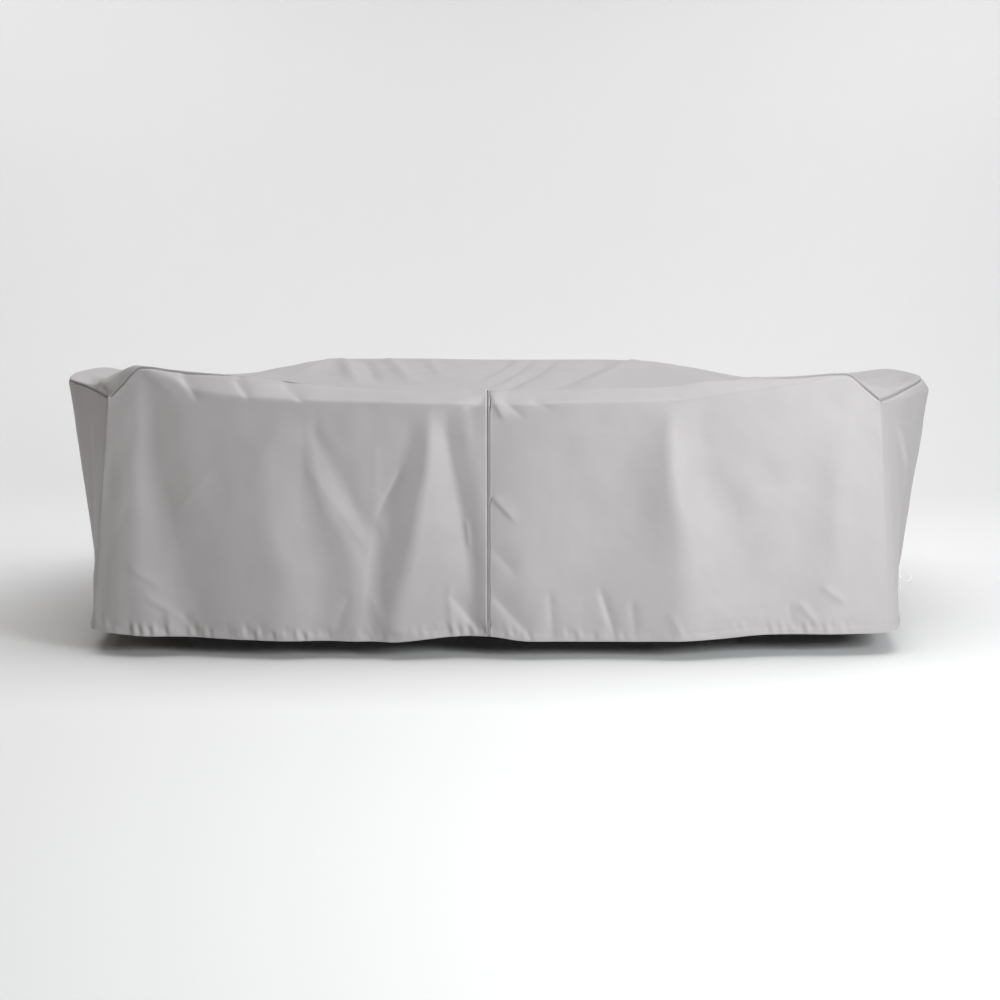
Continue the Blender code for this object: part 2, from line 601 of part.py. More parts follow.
def cover_panels():
    """Makes the seven panels, and returns the right end's wall."""
    front = Side(FRONT, None, (1, 0, 0), (0, -1, 0), "front_left", "front_right")
    back = Side(BACK, BACK_FOLDS, (1, 0, 0), (0, 1, 0), "back_left", "back_right")
    left = Side(LEFT_END, LEFT_FOLDS, (0, 1, 0), (-1, 0, 0), "front_left", "back_left")
    right = Side(RIGHT_END, RIGHT_FOLDS, (0, 1, 0), (1, 0, 0), "front_right", "back_right")
    front_wall = wall_grid(front, across(front), WALL_ROWS)
    back_wall = wall_grid(back, across(back), WALL_ROWS)
    left_wall = wall_grid(left, lengthways(left), WALL_ROWS)
    right_wall = wall_grid(right, lengthways(right), WALL_ROWS)
    top_seams = [wall[:, 0] for wall in (front_wall, back_wall, left_wall, right_wall)]
    top = top_grid(*top_seams, across(front), lengthways(left))
    grids = {
        "front": (front_wall, -1),
        "back": (back_wall, 1),
        "left": (left_wall, 1),
        "right": (right_wall, -1),
        "top": (top, 1),
    }
    normals = welded_normals(grids)

    # The left half of the front runs on past the centre seam and lies over the right half.
    middle = LEFT_COLUMNS
    front_left, front_right = slice(0, middle + 2), slice(middle, None)
    lap = np.zeros(middle + 2)
    lap[-2:] = 1
    panel("top_panel", top, normals["top"], 1, RING, hem=False)
    panel(
        "front_left_panel", front_wall[front_left], normals["front"][front_left], -1,
        (FIRST_COLUMN, FIRST_ROW), lapped=lap,
    )  # fmt: skip
    panel("front_right_panel", front_wall[front_right], normals["front"][front_right], -1)
    for name, part in (("back_left_panel", slice(0, middle + 1)), ("back_right_panel", front_right)):
        panel(name, back_wall[part], normals["back"][part], 1)
    panel("left_end_panel", left_wall, normals["left"], 1)
    panel("right_end_panel", right_wall, normals["right"], -1)
    return right_wall


# The tie


def tie_frame(wall):
    """Where the knot sits on the right end's wall, and the three ways its routes are measured."""
    upwards = [
        [np.interp(TIE_AT, row[:, 1], row[:, axis]) for axis in range(3)]
        for row in wall.swapaxes(0, 1)[::-1]
    ]
    upwards = np.array(upwards)
    foot = np.array([np.interp(TIE_HEIGHT, upwards[:, 2], upwards[:, axis]) for axis in range(3)])
    column = int(np.searchsorted(wall[:, -1, 1], TIE_AT))
    towards_front = wall[column - 1, -1] - wall[column, -1]
    towards_front[2] = 0
    towards_front /= np.linalg.norm(towards_front)
    outwards = np.array([-towards_front[1], towards_front[0], 0])
    centre = foot + outwards * (HALF_CLOTH + 2 * SEAM_GAP + KNOT_SIZE[0] / 2)
    return centre, np.array([outwards, towards_front, (0, 0, 1)])


def smooth_route(points):
    """Points TIE_STEP apart on a smooth curve through the route's own points."""
    chords = np.linalg.norm(np.diff(points, axis=0), axis=1)
    places = np.concatenate([[0], np.cumsum(chords)])
    at = np.linspace(0, places[-1], round(places[-1] / TIE_STEP) + 1)
    return np.stack([curve_through(places, points[:, axis], at) for axis in range(3)], axis=1)


def tie_cord(name, points):
    """One loop or end of the tie: a round cord along the points."""
    curve = bpy.data.curves.new(name, "CURVE")
    curve.dimensions = "3D"
    curve.bevel_depth = TIE_THICK / 2
    curve.bevel_resolution = 2
    curve.use_fill_caps = True
    spline = curve.splines.new("POLY")
    spline.points.add(len(points) - 1)
    for target, point in zip(spline.points, points):
        target.co = (*point, 1)
    curve.materials.append(material(name + "_cord", TIE_COLOUR, TIE_ROUGHNESS))
    bpy.context.scene.collection.objects.link(bpy.data.objects.new(name, curve))


def tie_knot(centre, turn):
    """The knot: a small ball with three soft lobes, turned to face outwards from the cloth."""
    bpy.ops.mesh.primitive_uv_sphere_add(segments=16, ring_count=8, radius=0.5, location=centre)
    knot = bpy.context.object
    knot.name = "tie_knot"
    for vertex in knot.data.vertices:
        around = math.atan2(vertex.co.z, vertex.co.x)
        vertex.co *= 1 + KNOT_LOBE * math.sin(KNOT_LOBES * around)
    knot.scale = KNOT_SIZE
    knot.rotation_euler.z = turn
    knot.data.shade_smooth()
    knot.data.materials.append(material("tie_knot_cord", TIE_COLOUR, TIE_ROUGHNESS))


def tie(wall):
    """The knot of the tie, and the loops and ends of cord that leave it."""
    centre, ways = tie_frame(wall)
    centre = centre - (0, 0, MOUNT_HEIGHT)
    for name, route in TIE_ROUTES.items():
        tie_cord(name, smooth_route(centre + np.array(route) @ ways))
    tie_knot(centre, math.atan2(ways[0][1], ways[0][0]))


clear_scene()
tie(cover_panels())
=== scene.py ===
"""Looks of a fitted outdoor cover: fine cloth on its folds, with seams, hem, tie and studio.

Metres, but for the tables' rows, +X to the right, -Y to the front, +Z up. The tables give heights
above the ground, and the finished cloth is lowered by MOUNT_HEIGHT, onto the frame's own panels.
"""

import math

import bpy
import mathutils
import numpy as np
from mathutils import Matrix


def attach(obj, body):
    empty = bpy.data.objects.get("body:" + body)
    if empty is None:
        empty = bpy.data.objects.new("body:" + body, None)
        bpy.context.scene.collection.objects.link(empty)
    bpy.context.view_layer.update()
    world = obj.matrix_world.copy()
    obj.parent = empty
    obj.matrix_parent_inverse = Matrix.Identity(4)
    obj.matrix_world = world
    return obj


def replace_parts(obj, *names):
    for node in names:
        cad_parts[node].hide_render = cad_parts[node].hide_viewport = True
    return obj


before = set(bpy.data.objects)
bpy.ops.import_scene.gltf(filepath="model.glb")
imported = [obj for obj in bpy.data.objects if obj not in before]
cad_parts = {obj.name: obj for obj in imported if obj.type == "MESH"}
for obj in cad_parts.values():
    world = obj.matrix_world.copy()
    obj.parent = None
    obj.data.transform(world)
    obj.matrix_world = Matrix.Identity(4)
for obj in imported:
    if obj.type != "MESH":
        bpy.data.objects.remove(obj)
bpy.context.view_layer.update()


def metres(*rows):
    """A table whose rows are in millimetres."""
    return np.array(rows) / 1000


# The frame's own sizes
MOUNT_HEIGHT = 0.764
LOWEST_TOP = 0.765
WIDTH = 2.5
DEPTH = 2.03
CENTRE_SEAM = -0.032
LAP = 0.008

# The camera: the height of its lens above the ground, how far ahead of the front corners it
# stands, and how far it looks down
CAMERA_X = 0.016
CAMERA_HEIGHT = 0.965
CAMERA_AHEAD = 4.29
CAMERA_DOWN = math.radians(6.327)
CAMERA_LENS = 50
CAMERA_SENSOR = 36

# Spacing of the fine cloth, along each wall and down it
FRONT_STEP = 0.0042
BACK_STEP = 0.007
END_STEP = 0.007
DROP_STEPS = {"front": 0.0046, "back": 0.007, "left": 0.006, "right": 0.006}
TOP_STEP = 0.009

# The rounding where the cloth bends down, and how folds fade near a corner and a seam
ROLL = 0.012
ROLL_SHARE = 0.9
ROLL_BELOW = 1.5
ROLL_LEAST = 0.01
CORNER_DROP = 0.012
CORNER_FADE = 0.06
SEAM_FADE = 0.05
FOLD_START = 0.45
FOLD_SWELL = 3
UPWARD_LEAN = (0, 0, 0.3)

# Which way round the faces of each wall's grid go, so that they look outwards
GRID_TURN = {"front": -1, "back": 1, "left": 1, "right": -1}

# Corners of the cover: the valley of the top seam, then the hem below it
CORNER_COLUMNS = ("x", "y", "seam", "hem_x", "hem_y", "hem")
CORNER_NAMES = ("front_left", "front_right", "back_left", "back_right")
CORNERS = metres(
    (-1191, -1015, 809, -1262, -1015, 83),
    (1189, -1015, 802, 1241, -1015, 73),
    (-1200, 1015, 800, -1255, 1015, 78),
    (1195, 1015, 796, 1250, 1015, 76),
)

# Walls, a row for each place along the side. out: how far the ridge, where the cloth bends down,
# stands from the middle of the cover. back: how far behind the ridge the top seam runs.
WALL_COLUMNS = ("at", "out", "ridge", "back", "seam", "hem_at", "hem_out", "hem")
FRONT = metres(
    (-1150, 1016, 843, 3, 850, -1200, 1035, 75),
    (-1088, 1018, 896, 5, 902, -1120, 1040, 70),
    (-1000, 1028, 868, 25, 892, -1030, 1050, 67),
    (-910, 1040, 828, 42, 883, -940, 1062, 65),
    (-760, 1055, 809, 65, 870, -780, 1080, 62),
    (-580, 1065, 801, 85, 847, -600, 1090, 60),
    (-330, 1073, 798, 95, 829, -340, 1100, 58),
    (-110, 1076, 790, 100, 827, -115, 1104, 74),
    (-30, 1074, 787, 100, 827, -30, 1104, 75),
    (110, 1076, 791, 100, 826, 110, 1106, 61),
    (340, 1073, 797, 95, 833, 350, 1100, 59),
    (530, 1066, 800, 85, 838, 550, 1092, 62),
    (660, 1058, 814, 70, 856, 690, 1082, 66),
    (820, 1046, 833, 50, 865, 850, 1066, 74),
    (950, 1033, 856, 30, 873, 990, 1052, 73),
    (1080, 1019, 877, 5, 882, 1120, 1040, 72),
    (1145, 1016, 832, 3, 838, 1195, 1030, 72),
)
LEFT_END = metres(
    (-985, 1209, 808, 3, 812, -985, 1275, 80),
    (-730, 1343, 831, 3, 835, -730, 1330, 75),
    (-430, 1490, 854, 3, 858, -430, 1385, 70),
    (-300, 1503, 867, 3, 871, -300, 1392, 68),
    (10, 1508, 879, 3, 883, 10, 1400, 64),
    (300, 1504, 864, 3, 868, 300, 1394, 66),
    (430, 1488, 853, 3, 857, 430, 1384, 70),
    (740, 1342, 826, 3, 830, 740, 1328, 74),
)
RIGHT_END = metres(
    (-985, 1214, 792, 10, 803, -985, 1274, 78),
    (-730, 1366, 798, 26, 824, -730, 1335, 75),
    (-440, 1511, 822, 30, 860, -440, 1402, 70),
    (-300, 1522, 834, 30, 868, -300, 1410, 66),
    (30, 1530, 850, 26, 877, 30, 1418, 62),
    (330, 1520, 838, 24, 862, 330, 1408, 66),
    (480, 1496, 822, 22, 846, 480, 1390, 70),
    (760, 1348, 808, 14, 822, 760, 1326, 74),
)
BACK = metres(
    (-1126, 1018, 806, 10, 822, -1160, 1030, 74),
    (-935, 1030, 850, 18, 875, -965, 1046, 68),
    (-745, 1038, 880, 24, 905, -770, 1058, 60),
    (-400, 1042, 886, 26, 909, -410, 1064, 58),
    (30, 1040, 880, 26, 903, 30, 1062, 64),
    (400, 1042, 882, 26, 904, 410, 1064, 58),
    (655, 1038, 876, 24, 899, 680, 1058, 60),
    (840, 1032, 848, 20, 873, 870, 1048, 66),
    (936, 1028, 834, 16, 855, 965, 1042, 68),
    (1130, 1018, 804, 10, 818, 1160, 1030, 74),
)

# Folds of the front, from left to right: the line of each crest and valley at six heights, how far
# the cloth stands out there at three, and how far from the line its slopes round off. FRONT_DEEP
# deepens them all, RIDGE_FADE is how far below the ridge they begin in full, and FOOT_SOFTER rounds
# them off more towards the hem.
TRACK_HEIGHTS = (0.13, 0.26, 0.37, 0.49, 0.595, 0.7)
DEPTH_HEIGHTS = (0.13, 0.43, 0.7)
TRACK_COLUMNS = (
    "at_13", "at_26", "at_37", "at_49", "at_60", "at_70", "depth_foot", "depth_mid", "depth_top", "round",
)  # fmt: skip
FRONT_DEEP = 1.35
RIDGE_FADE = 0.11
FOOT_SOFTER = 1.3
FRONT_TRACKS = metres(
    (-1235, -1225, -1215, -1210, -1205, -1200, 0, 0, 0, 20),
    (-1084, -1109, -1112, -1110, -1112, -1100, 18, 13, 4, 14),
    (-959, -990, -1017, -1036, -1057, -1066, -14, -7, -2, 22),
    (-764, -785, -834, -932, -950, -981, 4, 6, 5, 40),
    (-724, -724, -754, -822, -803, -748, 2, 7, 4, 30),
    (-650, -657, -690, -693, -705, -669, 11, 14, 6, 22),
    (-528, -520, -550, -571, -577, -575, -14, -7, 0, 20),
    (-440, -424, -458, -525, -560, -566, -6, 1, 1, 12),
    (-381, -375, -372, -440, -495, -552, -12, -17, -2, 14),
    (-375, -369, -360, -400, -424, -525, -12, -13, 2, 20),
    (-369, -363, -351, -330, -290, -259, -14, -19, -4, 16),
    (-311, -274, -246, -226, -207, -198, 6, 9, 6, 12),
    (-75, -70, -85, -108, -131, -148, -22, -24, -9, 10),
    (-46, -40, -46, -54, -63, -85, -14, -10, 2, 14),
    (-24, -24, -24, -24, -24, -24, -10, -10, -2, 8),
    (90, 60, 50, 50, 50, 50, 0, -4, 0, 30),
    (291, 330, 369, 414, 439, 480, -14, -18, -2, 60),
    (597, 591, 578, 551, 536, 530, 18, 18, 10, 18),
    (835, 765, 735, 676, 634, 603, -12, -12, -3, 45),
    (870, 840, 823, 799, 719, 680, -6, -5, -2, 40),
    (950, 975, 985, 988, 985, 975, -9, -8, -2, 30),
    (1050, 1062, 1068, 1065, 1070, 1085, 4, 4, 2, 18),
    (1120, 1125, 1128, 1130, 1135, 1146, 0, -1, 0, 20),
    (1235, 1225, 1218, 1212, 1206, 1200, 0, 0, 0, 20),
)

# Folds of the other walls. half: half the fold's width. depth: how far it stands out of the wall,
# or with a minus sets back into it.
FOLD_COLUMNS = ("top_at", "top", "foot_at", "foot", "top_half", "foot_half", "depth")
LEFT_FOLDS = metres(
    (-780, 760, -640, 50, 40, 80, -14),
    (-430, 850, -400, 50, 40, 80, 8),
    (-250, 780, -180, 50, 40, 80, -18),
    (-20, 700, 20, 50, 50, 90, 12),
    (240, 780, 180, 50, 35, 80, -16),
    (420, 840, 380, 50, 40, 80, 18),
    (760, 760, 640, 50, 40, 80, -12),
)
RIGHT_FOLDS = metres(
    (-760, 740, -620, 50, 35, 70, -12),
    (-440, 820, -420, 50, 40, 80, 5),
    (-220, 760, -240, 50, 35, 70, -14),
    (60, 720, 0, 50, 45, 90, 14),
    (300, 760, 230, 50, 40, 80, -16),
    (480, 820, 450, 50, 35, 80, 16),
    (780, 740, 660, 50, 40, 80, -12),
)
BACK_FOLDS = metres(
    (-960, 800, -1000, 50, 30, 60, -12),
    (-745, 870, -860, 50, 30, 80, 20),
    (-560, 800, -560, 50, 40, 90, -18),
    (-300, 820, -330, 50, 35, 70, 14),
    (-80, 800, -120, 50, 30, 60, -12),
    (240, 820, 260, 50, 35, 80, -16),
    (440, 800, 470, 50, 30, 70, 15),
    (655, 870, 740, 50, 30, 80, 20),
    (880, 800, 960, 50, 35, 70, -14),
)
SIDE_FOLDS = {"left": LEFT_FOLDS, "right": RIGHT_FOLDS, "back": BACK_FOLDS}

# Folds of the top cloth, from one place of it to another, and how quickly they begin and end
TOP_FOLD_COLUMNS = ("from_x", "from_y", "to_x", "to_y", "half", "depth")
TOP_FOLDS = metres(
    (-740, 950, -880, 450, 40, 12),
    (-690, 950, -560, 350, 35, 14),
    (-590, 950, -470, 350, 30, -10),
    (-480, 950, -330, 350, 35, 12),
    (-300, 950, -220, 500, 30, 9),
    (60, 960, -100, 450, 28, -12),
    (160, 960, -60, 250, 28, -12),
    (260, 960, 0, 150, 35, -13),
    (520, 960, 160, 150, 45, -14),
    (620, 960, 330, 250, 40, 13),
    (-1440, -360, -1205, -930, 30, -20),
    (1440, -360, 1205, -930, 35, -14),
    (-1420, 400, -1190, 920, 40, -16),
    (1420, 420, 1190, 920, 40, -16),
    (-950, -940, -450, -300, 60, 12),
    (950, -940, 480, -250, 60, 12),
    (-1000, 900, -1250, 200, 110, -12),
    (980, 900, 1250, 100, 120, -30),
)
TOP_FOLD_START = (0.15, 4)
TOP_FOLD_END = (0.6, 2.2)

# The top cloth's low waves, and how it comes down from each seam: over what length, and how curved
SLACK = 0.002
SLACK_WAVES = (0.83, 0.57)
FRONT_SLOPE = (0.55, 1.6)
BACK_SLOPE = (1, 1.15)
END_SLOPE = (0.6, 1.4)

# Creases, sharper than the folds, from one place to another: at and height on a wall, x and y on
# the top. left and right: half of the crease's width on each hand, looking from its start to its end.
# CREASE_START and CREASE_END: how quickly and where a crease begins and ends.
CREASE_COLUMNS = ("from_at", "from_up", "to_at", "to_up", "left", "right", "depth")
CREASE_START = (3, 0.4)
CREASE_END = (2, 1.2)
CREASE_SHARP = 1.6
FRONT_CREASES = metres(
    (-1080, 890, -960, 800, 30, 16, 4),
    (-965, 880, -905, 790, 24, 10, -6),
    (-803, 862, -745, 800, 20, 9, -5),
    (-657, 848, -577, 790, 18, 8, -5),
    (-575, 600, -360, 300, 50, 16, 3),
    (-290, 590, -370, 430, 18, 8, -4),
    (-365, 660, -365, 450, 16, 22, 2),
    (-450, 200, -500, 60, 30, 18, -5),
    (-385, 200, -330, 70, 22, 22, 3),
    (-135, 200, -30, 65, 34, 10, -8),
    (-140, 230, -130, 60, 18, 14, 4),
    (-88, 430, -78, 345, 9, 6, 4),
    (-12, 815, 35, 735, 22, 10, 7),
    (24, 800, 95, 745, 12, 8, -4),
    (110, 800, 180, 770, 10, 8, -3),
    (-12, 510, 70, 425, 22, 8, 7),
    (-10, 350, 75, 255, 30, 18, -6),
    (-10, 210, 120, 65, 45, 18, -9),
    (-30, 800, -95, 772, 9, 7, -4),
    (-45, 810, -200, 783, 10, 8, 3),
    (325, 220, 375, 60, 20, 10, -7),
    (422, 180, 437, 60, 16, 12, -4),
    (168, 210, 180, 60, 18, 12, -5),
    (535, 150, 580, 70, 14, 14, 3),
    (1020, 220, 1095, 165, 16, 12, 4),
    (950, 170, 1020, 80, 16, 12, 4),
    (918, 170, 930, 60, 16, 12, -3),
    (-1130, 280, -1030, 215, 20, 12, 4),
    (-1080, 190, -970, 120, 16, 12, 5),
    (-1020, 140, -985, 60, 14, 12, 6),
    (-975, 140, -925, 60, 16, 12, -5),
    (-840, 620, -1000, 440, 20, 10, 1.4),
)
RIGHT_CREASES = metres(
    (-880, 700, -660, 480, 35, 14, 16),
    (-930, 745, -640, 700, 30, 14, 7),
    (-840, 560, -740, 300, 30, 30, -8),
)
TOP_CREASES = metres(
    (-740, 970, -860, 500, 22, 10, 6),
    (-690, 970, -570, 400, 10, 24, 7),
    (-590, 970, -490, 450, 20, 10, -5),
    (-480, 970, -350, 450, 10, 24, 7),
    (-300, 970, -230, 550, 10, 20, 5),
    (-390, 970, -420, 750, 10, 14, -3),
    (-180, 980, -160, 800, 10, 14, 3),
    (60, 980, -90, 500, 12, 22, -6),
    (160, 980, -40, 350, 12, 24, -6),
    (260, 980, 20, 250, 12, 26, -7),
    (520, 980, 200, 250, 12, 30, -7),
    (620, 980, 350, 350, 30, 12, 6),
    (420, 980, 340, 700, 10, 16, 4),
    (-1375, -400, -1130, -1250, 130, 34, 26),
    (1400, -480, 1230, -860, 30, 14, 14),
    (1330, -300, 1180, -620, 40, 16, 12),
    (1250, -500, 1100, -750, 16, 30, -8),
)

# Unevenness of the cloth: how wide and how high, from large to small. It leaves a little of the
# cloth beside each seam free.
UNEVEN = ((0.16, 0.0018), (0.06, 0.0004), (0.02, 0.00006))
UNEVEN_TURN = (0.8, 0.6)
SEAM_CLEAR = 0.008

# Beside a seam the cloth rises a little and puckers, and at a corner seam only CORNER_RISE as much.
# A pucker's shape: how far it is from one to the next, how it leans, how it is drawn out away from
# the seam, and how many are stronger or weaker together.
SEAM_RISE = 0.0026
SEAM_RISE_START = 0.0022
SEAM_PUCKER = 0.0011
SEAM_PUCKER_REACH = 0.014
SEAM_PUCKER_SHAPE = (0.011, 0, 0.3, 6)
CORNER_RISE = 0.35
CROSSING_FADE = 0.02

# The top seam. The walls have a narrow groove just below it, except at the back and along the
# front's middle, and their edge is turned in. The top cloth sinks at the back and dips elsewhere.
GROOVE = 0.0105
GROOVE_START = 0.003
GROOVE_REACH = 0.0075
GROOVE_END = 0.01
CORNER_PART = (2.2, 1.4)
SEAM_TURN = 0.0009
SEAM_TURN_ROWS = 3
SEAM_SINK = 0.0055
SEAM_SINK_REACH = 0.005
LIP_DROP = 0.003
LIP_REACH = 0.0018
LIP_FROM_BACK = 0.1

# The hem: its stitch line above the edge, its puckers, which are faint but for the front's left
# half, its doubled cloth, how far the stitches draw it in, and the radius of its turned edge
HEM_LINE = 0.021
HEM_PUCKER = 0.0085
HEM_PUCKER_FAINT = 0.004
HEM_PUCKER_REACH = 0.02
HEM_PUCKER_SHAPE = (0.0155, 0.2, 0.25, 7)
HEM_THICK = 0.0012
HEM_STEP = 0.004
HEM_DRAWN = 0.0008
HEM_DRAWN_REACH = 0.003
HEM_CORNER = 0.006
HEM_TURN = 0.0016

# Extra rows beside a seam, and the rows of the hem from its turned-up edge's height downwards
NEAR_SEAM = (0, 0.0012, 0.0025, 0.0038, 0.0052, 0.0075, 0.0105)
HEM_ROWS = (0.03, 0.0265, 0.024, 0.021, 0.018, 0.015, 0.0115, 0.008, 0.005, 0.0025, 0.0005)

# The lap of the centre seam: its folded edge stands proud, and the half below it dips under, less
# far along towards the ridge
LAP_PROUD = 0.0042
LAP_RISE = 0.05
LAP_EDGE = (0.0018, 0.006)
LAP_UNDER = 0.0045
LAP_FALL = (0.011, 0.003)
LAP_FALL_HEIGHTS = (0.1, 0.7)
LAP_TURN = 0.0014
LAP_COLUMNS = (0.008, 0.0055, 0.0035, 0.002, 0.0008)
UNDER_COLUMNS = (0.009, 0.006, 0.003)
UNDER_EVEN_FROM = 0.01

# Stitches along the hem and beside the lap's edge, where they begin some rows below the top seam
STITCH_PITCH = 0.006
STITCH_LONG = 0.0042
STITCH_THICK = 0.0005
LAP_STITCH_FROM = 12

# How far apart the rows that are turned in at a seam and under at a hem lie on the cut cloth
TURNED_IN = 0.001
TURNED_UNDER = 0.003
LAPPED_UNDER = 0.002

# The tie, low at the right front corner, sewn on at its knot. Its routes are from the knot's
# middle: outwards from the cloth, along it towards the front, and up.
TIE_THICK = 0.003
TIE_STEP = 0.0022
TIE_AT = -0.9
TIE_HEIGHT = 0.23
TIE_CLEAR = 0.0066
KNOT_WIND = (0.0034, 0.0013)
TIE_ROUTES = {
    "tie_cord_right": ("tie_loop_right", "object", (
        (5.6, 0, 1.8), (14, -1, 6), (25, -1, 8.5), (34, 0, 6),
        (35, 2, 0), (27, 3, -4.5), (15, 2, -4.5), (5.6, 0, -1.8),
    )),
    "tie_cord_left": ("tie_loop_left", "object", (
        (-0.5, 6.2, 2), (-1.5, 12, 4.5), (-2, 19, 4), (-2, 22, 0),
        (-2, 18, -3.5), (-1.5, 12, -3.5), (-0.5, 6.2, -1.8),
    )),
    "free_end_right": ("tie_end_right", "bare", (
        (3.5, 1.5, -5.5), (10, 4, -9.5), (20, 5, -12.5),
        (29, 4, -10.5), (37, 3, -9),
    )),
    "free_end_down": ("tie_end_down", "bare", (
        (-1, 0, -6.4), (0, 1, -14), (2.5, 2, -24),
        (1, 2, -34), (3, 1, -43),
    )),
}  # fmt: skip

# The cloth, lighter and darker in clouds, the braid of the tie, darker in its rib's grooves as painted
# shade, and the sewing thread
CLOTH_DARK = (0.38, 0.364, 0.366, 1)
CLOTH_LIGHT = (0.42, 0.404, 0.408, 1)
CLOTH_ROUGHNESS = 0.5
CLOTH_SPECULAR = 0.5
WEAVE_SCALE = 350
WEAVE_DEEP = 0.0002
BRAID_GROOVE_SHADE = (0.62, 0.62, 0.6, 1)
BRAID_LIGHT = (0.86, 0.86, 0.85, 1)
THREAD_DARK = (0.3, 0.28, 0.25, 1)
THREAD_LIGHT = (0.42, 0.39, 0.36, 1)

# The floor and the wall it curves up to, the light of the air, and the lamps: where each stands,
# what it aims at, how wide and how high it is, its strength and its colour
STUDIO_WIDE = 14
STUDIO_BACK = 6
STUDIO_CURVE = 2.5
STUDIO_TALL = 8
STUDIO_COLOUR = (0.8, 0.8, 0.8, 1)
AIR_LIGHT = 0.1
LIGHTS = (
    ("key_light", (6.5, -1.2, 5.6), (-1.5, 0, -0.3), (1, 1), 26, (0.97, 0.99, 1)),
    ("wall_light", (2.6, -4, 0.9), (-0.9, -1, -0.3), (1.2, 1.2), 134, (0.97, 0.99, 1)),
    ("left_fill", (-4, -2.2, 0.6), (-1.2, -0.8, -0.3), (1.5, 1), 4, (1, 0.72, 0.48)),
    ("overhead", (0, -0.5, 5), (0, 0, 0), (7, 7), 228, (1, 1, 1)),
    ("overhead_right", (1.3, -0.2, 4.2), (0.6, 0, 0), (4, 4), 70, (1, 1, 1)),
    ("backdrop_light_left", (-5, 2, 4.2), (-4.2, 6, 0.8), (4.5, 1.5), 125, (1, 1, 1)),
    ("backdrop_light_right", (5, 2, 4.2), (4.2, 6, 0.8), (4.5, 1.5), 125, (1, 1, 1)),
)


def ease(t):
    t = np.clip(t, 0, 1)
    return t * t * (3 - 2 * t)


def unit(vectors):
    """The same directions, each one long."""
    return vectors / np.linalg.norm(vectors, axis=-1, keepdims=True)


def lengths_along(points):
    """How far along a line of points each of them is."""
    steps = np.linalg.norm(np.diff(points, axis=-2), axis=-1)
    return np.concatenate([np.zeros_like(steps[..., :1]), np.cumsum(steps, axis=-1)], axis=-1)


def curve_through(places, values, at):
    """A smooth curve through the values that never overshoots them, read at the places `at`."""
    steps = np.diff(places)
    slopes = np.diff(values) / steps
    product = slopes[:-1] * slopes[1:]
    total = slopes[:-1] + slopes[1:]
    turning = product <= 0
    inner = np.where(turning, 0, 2 * product / np.where(turning, 1, total))
    tangents = np.concatenate([slopes[:1], inner, slopes[-1:]])
    i = np.clip(np.searchsorted(places, at) - 1, 0, len(steps) - 1)
    t = (at - places[i]) / steps[i]
    rise = values[i + 1] - values[i]
    start, end = tangents[i] * steps[i], tangents[i + 1] * steps[i]
    return values[i] + t * start + t**2 * (3 * rise - 2 * start - end) + t**3 * (start + end - 2 * rise)


def unevenness(u, v, size, seed):
    """Smooth noise from -1 to 1 over a plane, with bumps about `size` across."""
    lattice = np.random.default_rng(seed).uniform(-1, 1, (64, 64))
    u, v = u / size, v / size
    i, j = np.floor(u).astype(int), np.floor(v).astype(int)
    s, t = ease(u - i), ease(v - j)
    near = lattice[i % 64, j % 64] * (1 - s) + lattice[(i + 1) % 64, j % 64] * s
    far = lattice[i % 64, (j + 1) % 64] * (1 - s) + lattice[(i + 1) % 64, (j + 1) % 64] * s
    return near * (1 - t) + far * t


class Side:
    """One side of the cover: its table, its two corners and the way it faces."""

    def __init__(self, name, table, along, outward, first, last):
        self.name = name
        self.along = np.array(along, float)
        self.outward = np.array(outward, float)
        rows = [self.corner_row(first), *table, self.corner_row(last)]
        self.columns = dict(zip(WALL_COLUMNS, np.array(rows, float).T))
        self.ends = self.columns["at"][[0, -1]]

    def corner_row(self, name):
        """A corner as a row of the table. Its ridge lies on the straight line down to its hem."""
        corner = dict(zip(CORNER_COLUMNS, CORNERS[CORNER_NAMES.index(name)]))
        seam = np.array([corner["x"], corner["y"], 0])
        hem = np.array([corner["hem_x"], corner["hem_y"], 0])
        share = CORNER_DROP / (corner["seam"] - corner["hem"])
        out = (seam + share * (hem - seam)) @ self.outward
        ridge = corner["seam"] - CORNER_DROP
        back = out - seam @ self.outward
        return (
            seam @ self.along, out, ridge, back, corner["seam"],
            hem @ self.along, hem @ self.outward, corner["hem"],
        )  # fmt: skip

    def read(self, column, at):
        return curve_through(self.columns["at"], self.columns[column], at)

    def place(self, at, out, height):
        return at[:, None] * self.along + out[:, None] * self.outward + height[:, None] * (0, 0, 1)

    def levels(self, at):
        """The seam, ridge and hem points below each other at the places `at`."""
        out, ridge, back = self.read("out", at), self.read("ridge", at), self.read("back", at)
        top, hem, hem_at = self.read("seam", at), self.read("hem", at), self.read("hem_at", at)
        share = (top - ridge) / (top - hem)
        seam_point = self.place(at, out - back, top)
        ridge_point = self.place(at + share * (hem_at - at), out, ridge)
        hem_point = self.place(hem_at, self.read("hem_out", at), hem)
        return seam_point, ridge_point, hem_point


